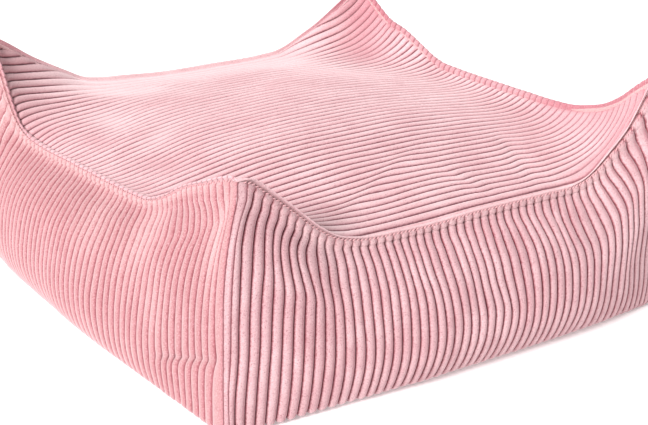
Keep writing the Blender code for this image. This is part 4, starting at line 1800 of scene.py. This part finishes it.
# --- studio -------------------------------------------------------------------------------------
@dataclass
class Studio:
    """Floor, lights and camera."""

    camera_place: tuple[float, float, float] = (-0.8759, -1.2390, 0.6848)
    azimuth: float = -35.2563
    elevation: float = 22.1201
    roll: float = 1.2145
    focal_px: float = 1588.18
    axis_px: float = 308.28
    image_width: float = 648.0
    sensor: float = 36.0

    def build(self) -> None:
        """Sets everything up."""
        self.floor()
        self.lights()
        self.camera()
        scene = bpy.context.scene
        scene.view_settings.view_transform = "Standard"
        scene.view_settings.look = "None"

    def floor(self) -> None:
        """A plain pale floor."""
        bpy.ops.object.select_all(action="DESELECT")
        bpy.ops.mesh.primitive_plane_add(size=14.0, location=(0.0, 0.0, -0.1 * MM))
        floor = bpy.context.object
        floor.name = "studio_floor"
        material, board = new_material(floor.name)
        board.shade(Base_Color=rgba((0.92, 0.92, 0.92)), Roughness=0.9, Specular_IOR_Level=0.1,
                    Emission_Color=rgba((1.0, 1.0, 1.0)), Emission_Strength=0.30)
        floor.data.materials.append(material)

    def lights(self) -> None:
        """A pale surround, a soft key from the left and a broad light from above."""
        world = bpy.data.worlds.new("studio")
        world.use_nodes = True
        board = Nodes(world.node_tree)
        sky = board.add("ShaderNodeBackground", Color=rgba((1.0, 1.0, 1.0)), Strength=0.30)
        board.add("ShaderNodeOutputWorld", Surface=sky.outputs[0])
        bpy.context.scene.world = world
        self.sun("key", (-0.77, -0.26, 0.50), 4.1, 20.0)
        self.sun("top", (-0.10, 0.45, 0.90), 1.1, 35.0)

    @staticmethod
    def sun(name: str, towards: tuple[float, float, float], strength: float,
            spread: float) -> None:
        """Adds a distant soft light.

        Args:
            name: its name.
            towards: direction in which it stands.
            strength: its strength.
            spread: its width, in degrees.
        """
        light = bpy.data.lights.new(name, "SUN")
        light.energy = strength
        light.angle = math.radians(spread)
        lamp = bpy.data.objects.new(name, light)
        bpy.context.scene.collection.objects.link(lamp)
        lamp.rotation_mode = "QUATERNION"
        lamp.rotation_quaternion = Vector(towards).to_track_quat("Z", "Y")

    def camera(self) -> None:
        """The camera, turned by its azimuth, elevation and roll."""
        a, e, r = (math.radians(turn) for turn in (self.azimuth, self.elevation, self.roll))
        back = Vector((math.sin(a) * math.cos(e), -math.cos(a) * math.cos(e), math.sin(e)))
        right = Vector((math.cos(a), math.sin(a), 0.0))
        up = back.cross(right)
        turned_right = right * math.cos(r) + up * math.sin(r)
        turned_up = up * math.cos(r) - right * math.sin(r)
        data = bpy.data.cameras.new("camera")
        data.sensor_width = self.sensor
        data.lens = self.focal_px / self.image_width * self.sensor
        data.shift_x = 0.5 - self.axis_px / self.image_width
        camera = bpy.data.objects.new("camera", data)
        bpy.context.scene.collection.objects.link(camera)
        turn = Matrix((turned_right, turned_up, back)).transposed().to_4x4()
        camera.matrix_world = Matrix.Translation(self.camera_place) @ turn
        bpy.context.scene.camera = camera


def main() -> None:
    """Builds every piece in order and reports it."""
    logging.basicConfig(level=logging.INFO, format="%(name)s: %(message)s")
    material = SIDE_FINISH.material()
    # The left and right panels take the darker copy of the cloth: painted shade.
    turned = SHADED_SIDE_FINISH.material()
    panels = [
        SidePanel(FRONT, "side_panel_front", 10),
        SidePanel(RIGHT, "side_panel_right", 20),
        SidePanel(BACK, "side_panel_back", 30),
        SidePanel(LEFT, "side_panel_left", 40, LEFT_CREASES, LEFT_CRUSHES),
    ]
    for panel in panels:
        piece = panel.build(turned if panel.form in (LEFT, RIGHT) else material)
        log.info("%s: %d faces", piece.name, len(piece.data.polygons))
    for piece in (
        TopCushion().build(TOP_PAINTED_SHEEN_FINISH.material()),
        BaseCloth().build(BASE_FINISH.material()),
        SeamStitches().build(panels, THREAD_FINISH.material()),
    ):
        log.info("%s: %d faces", piece.name, len(piece.data.polygons))
    Studio().build()


if __name__ == "__main__":
    main()
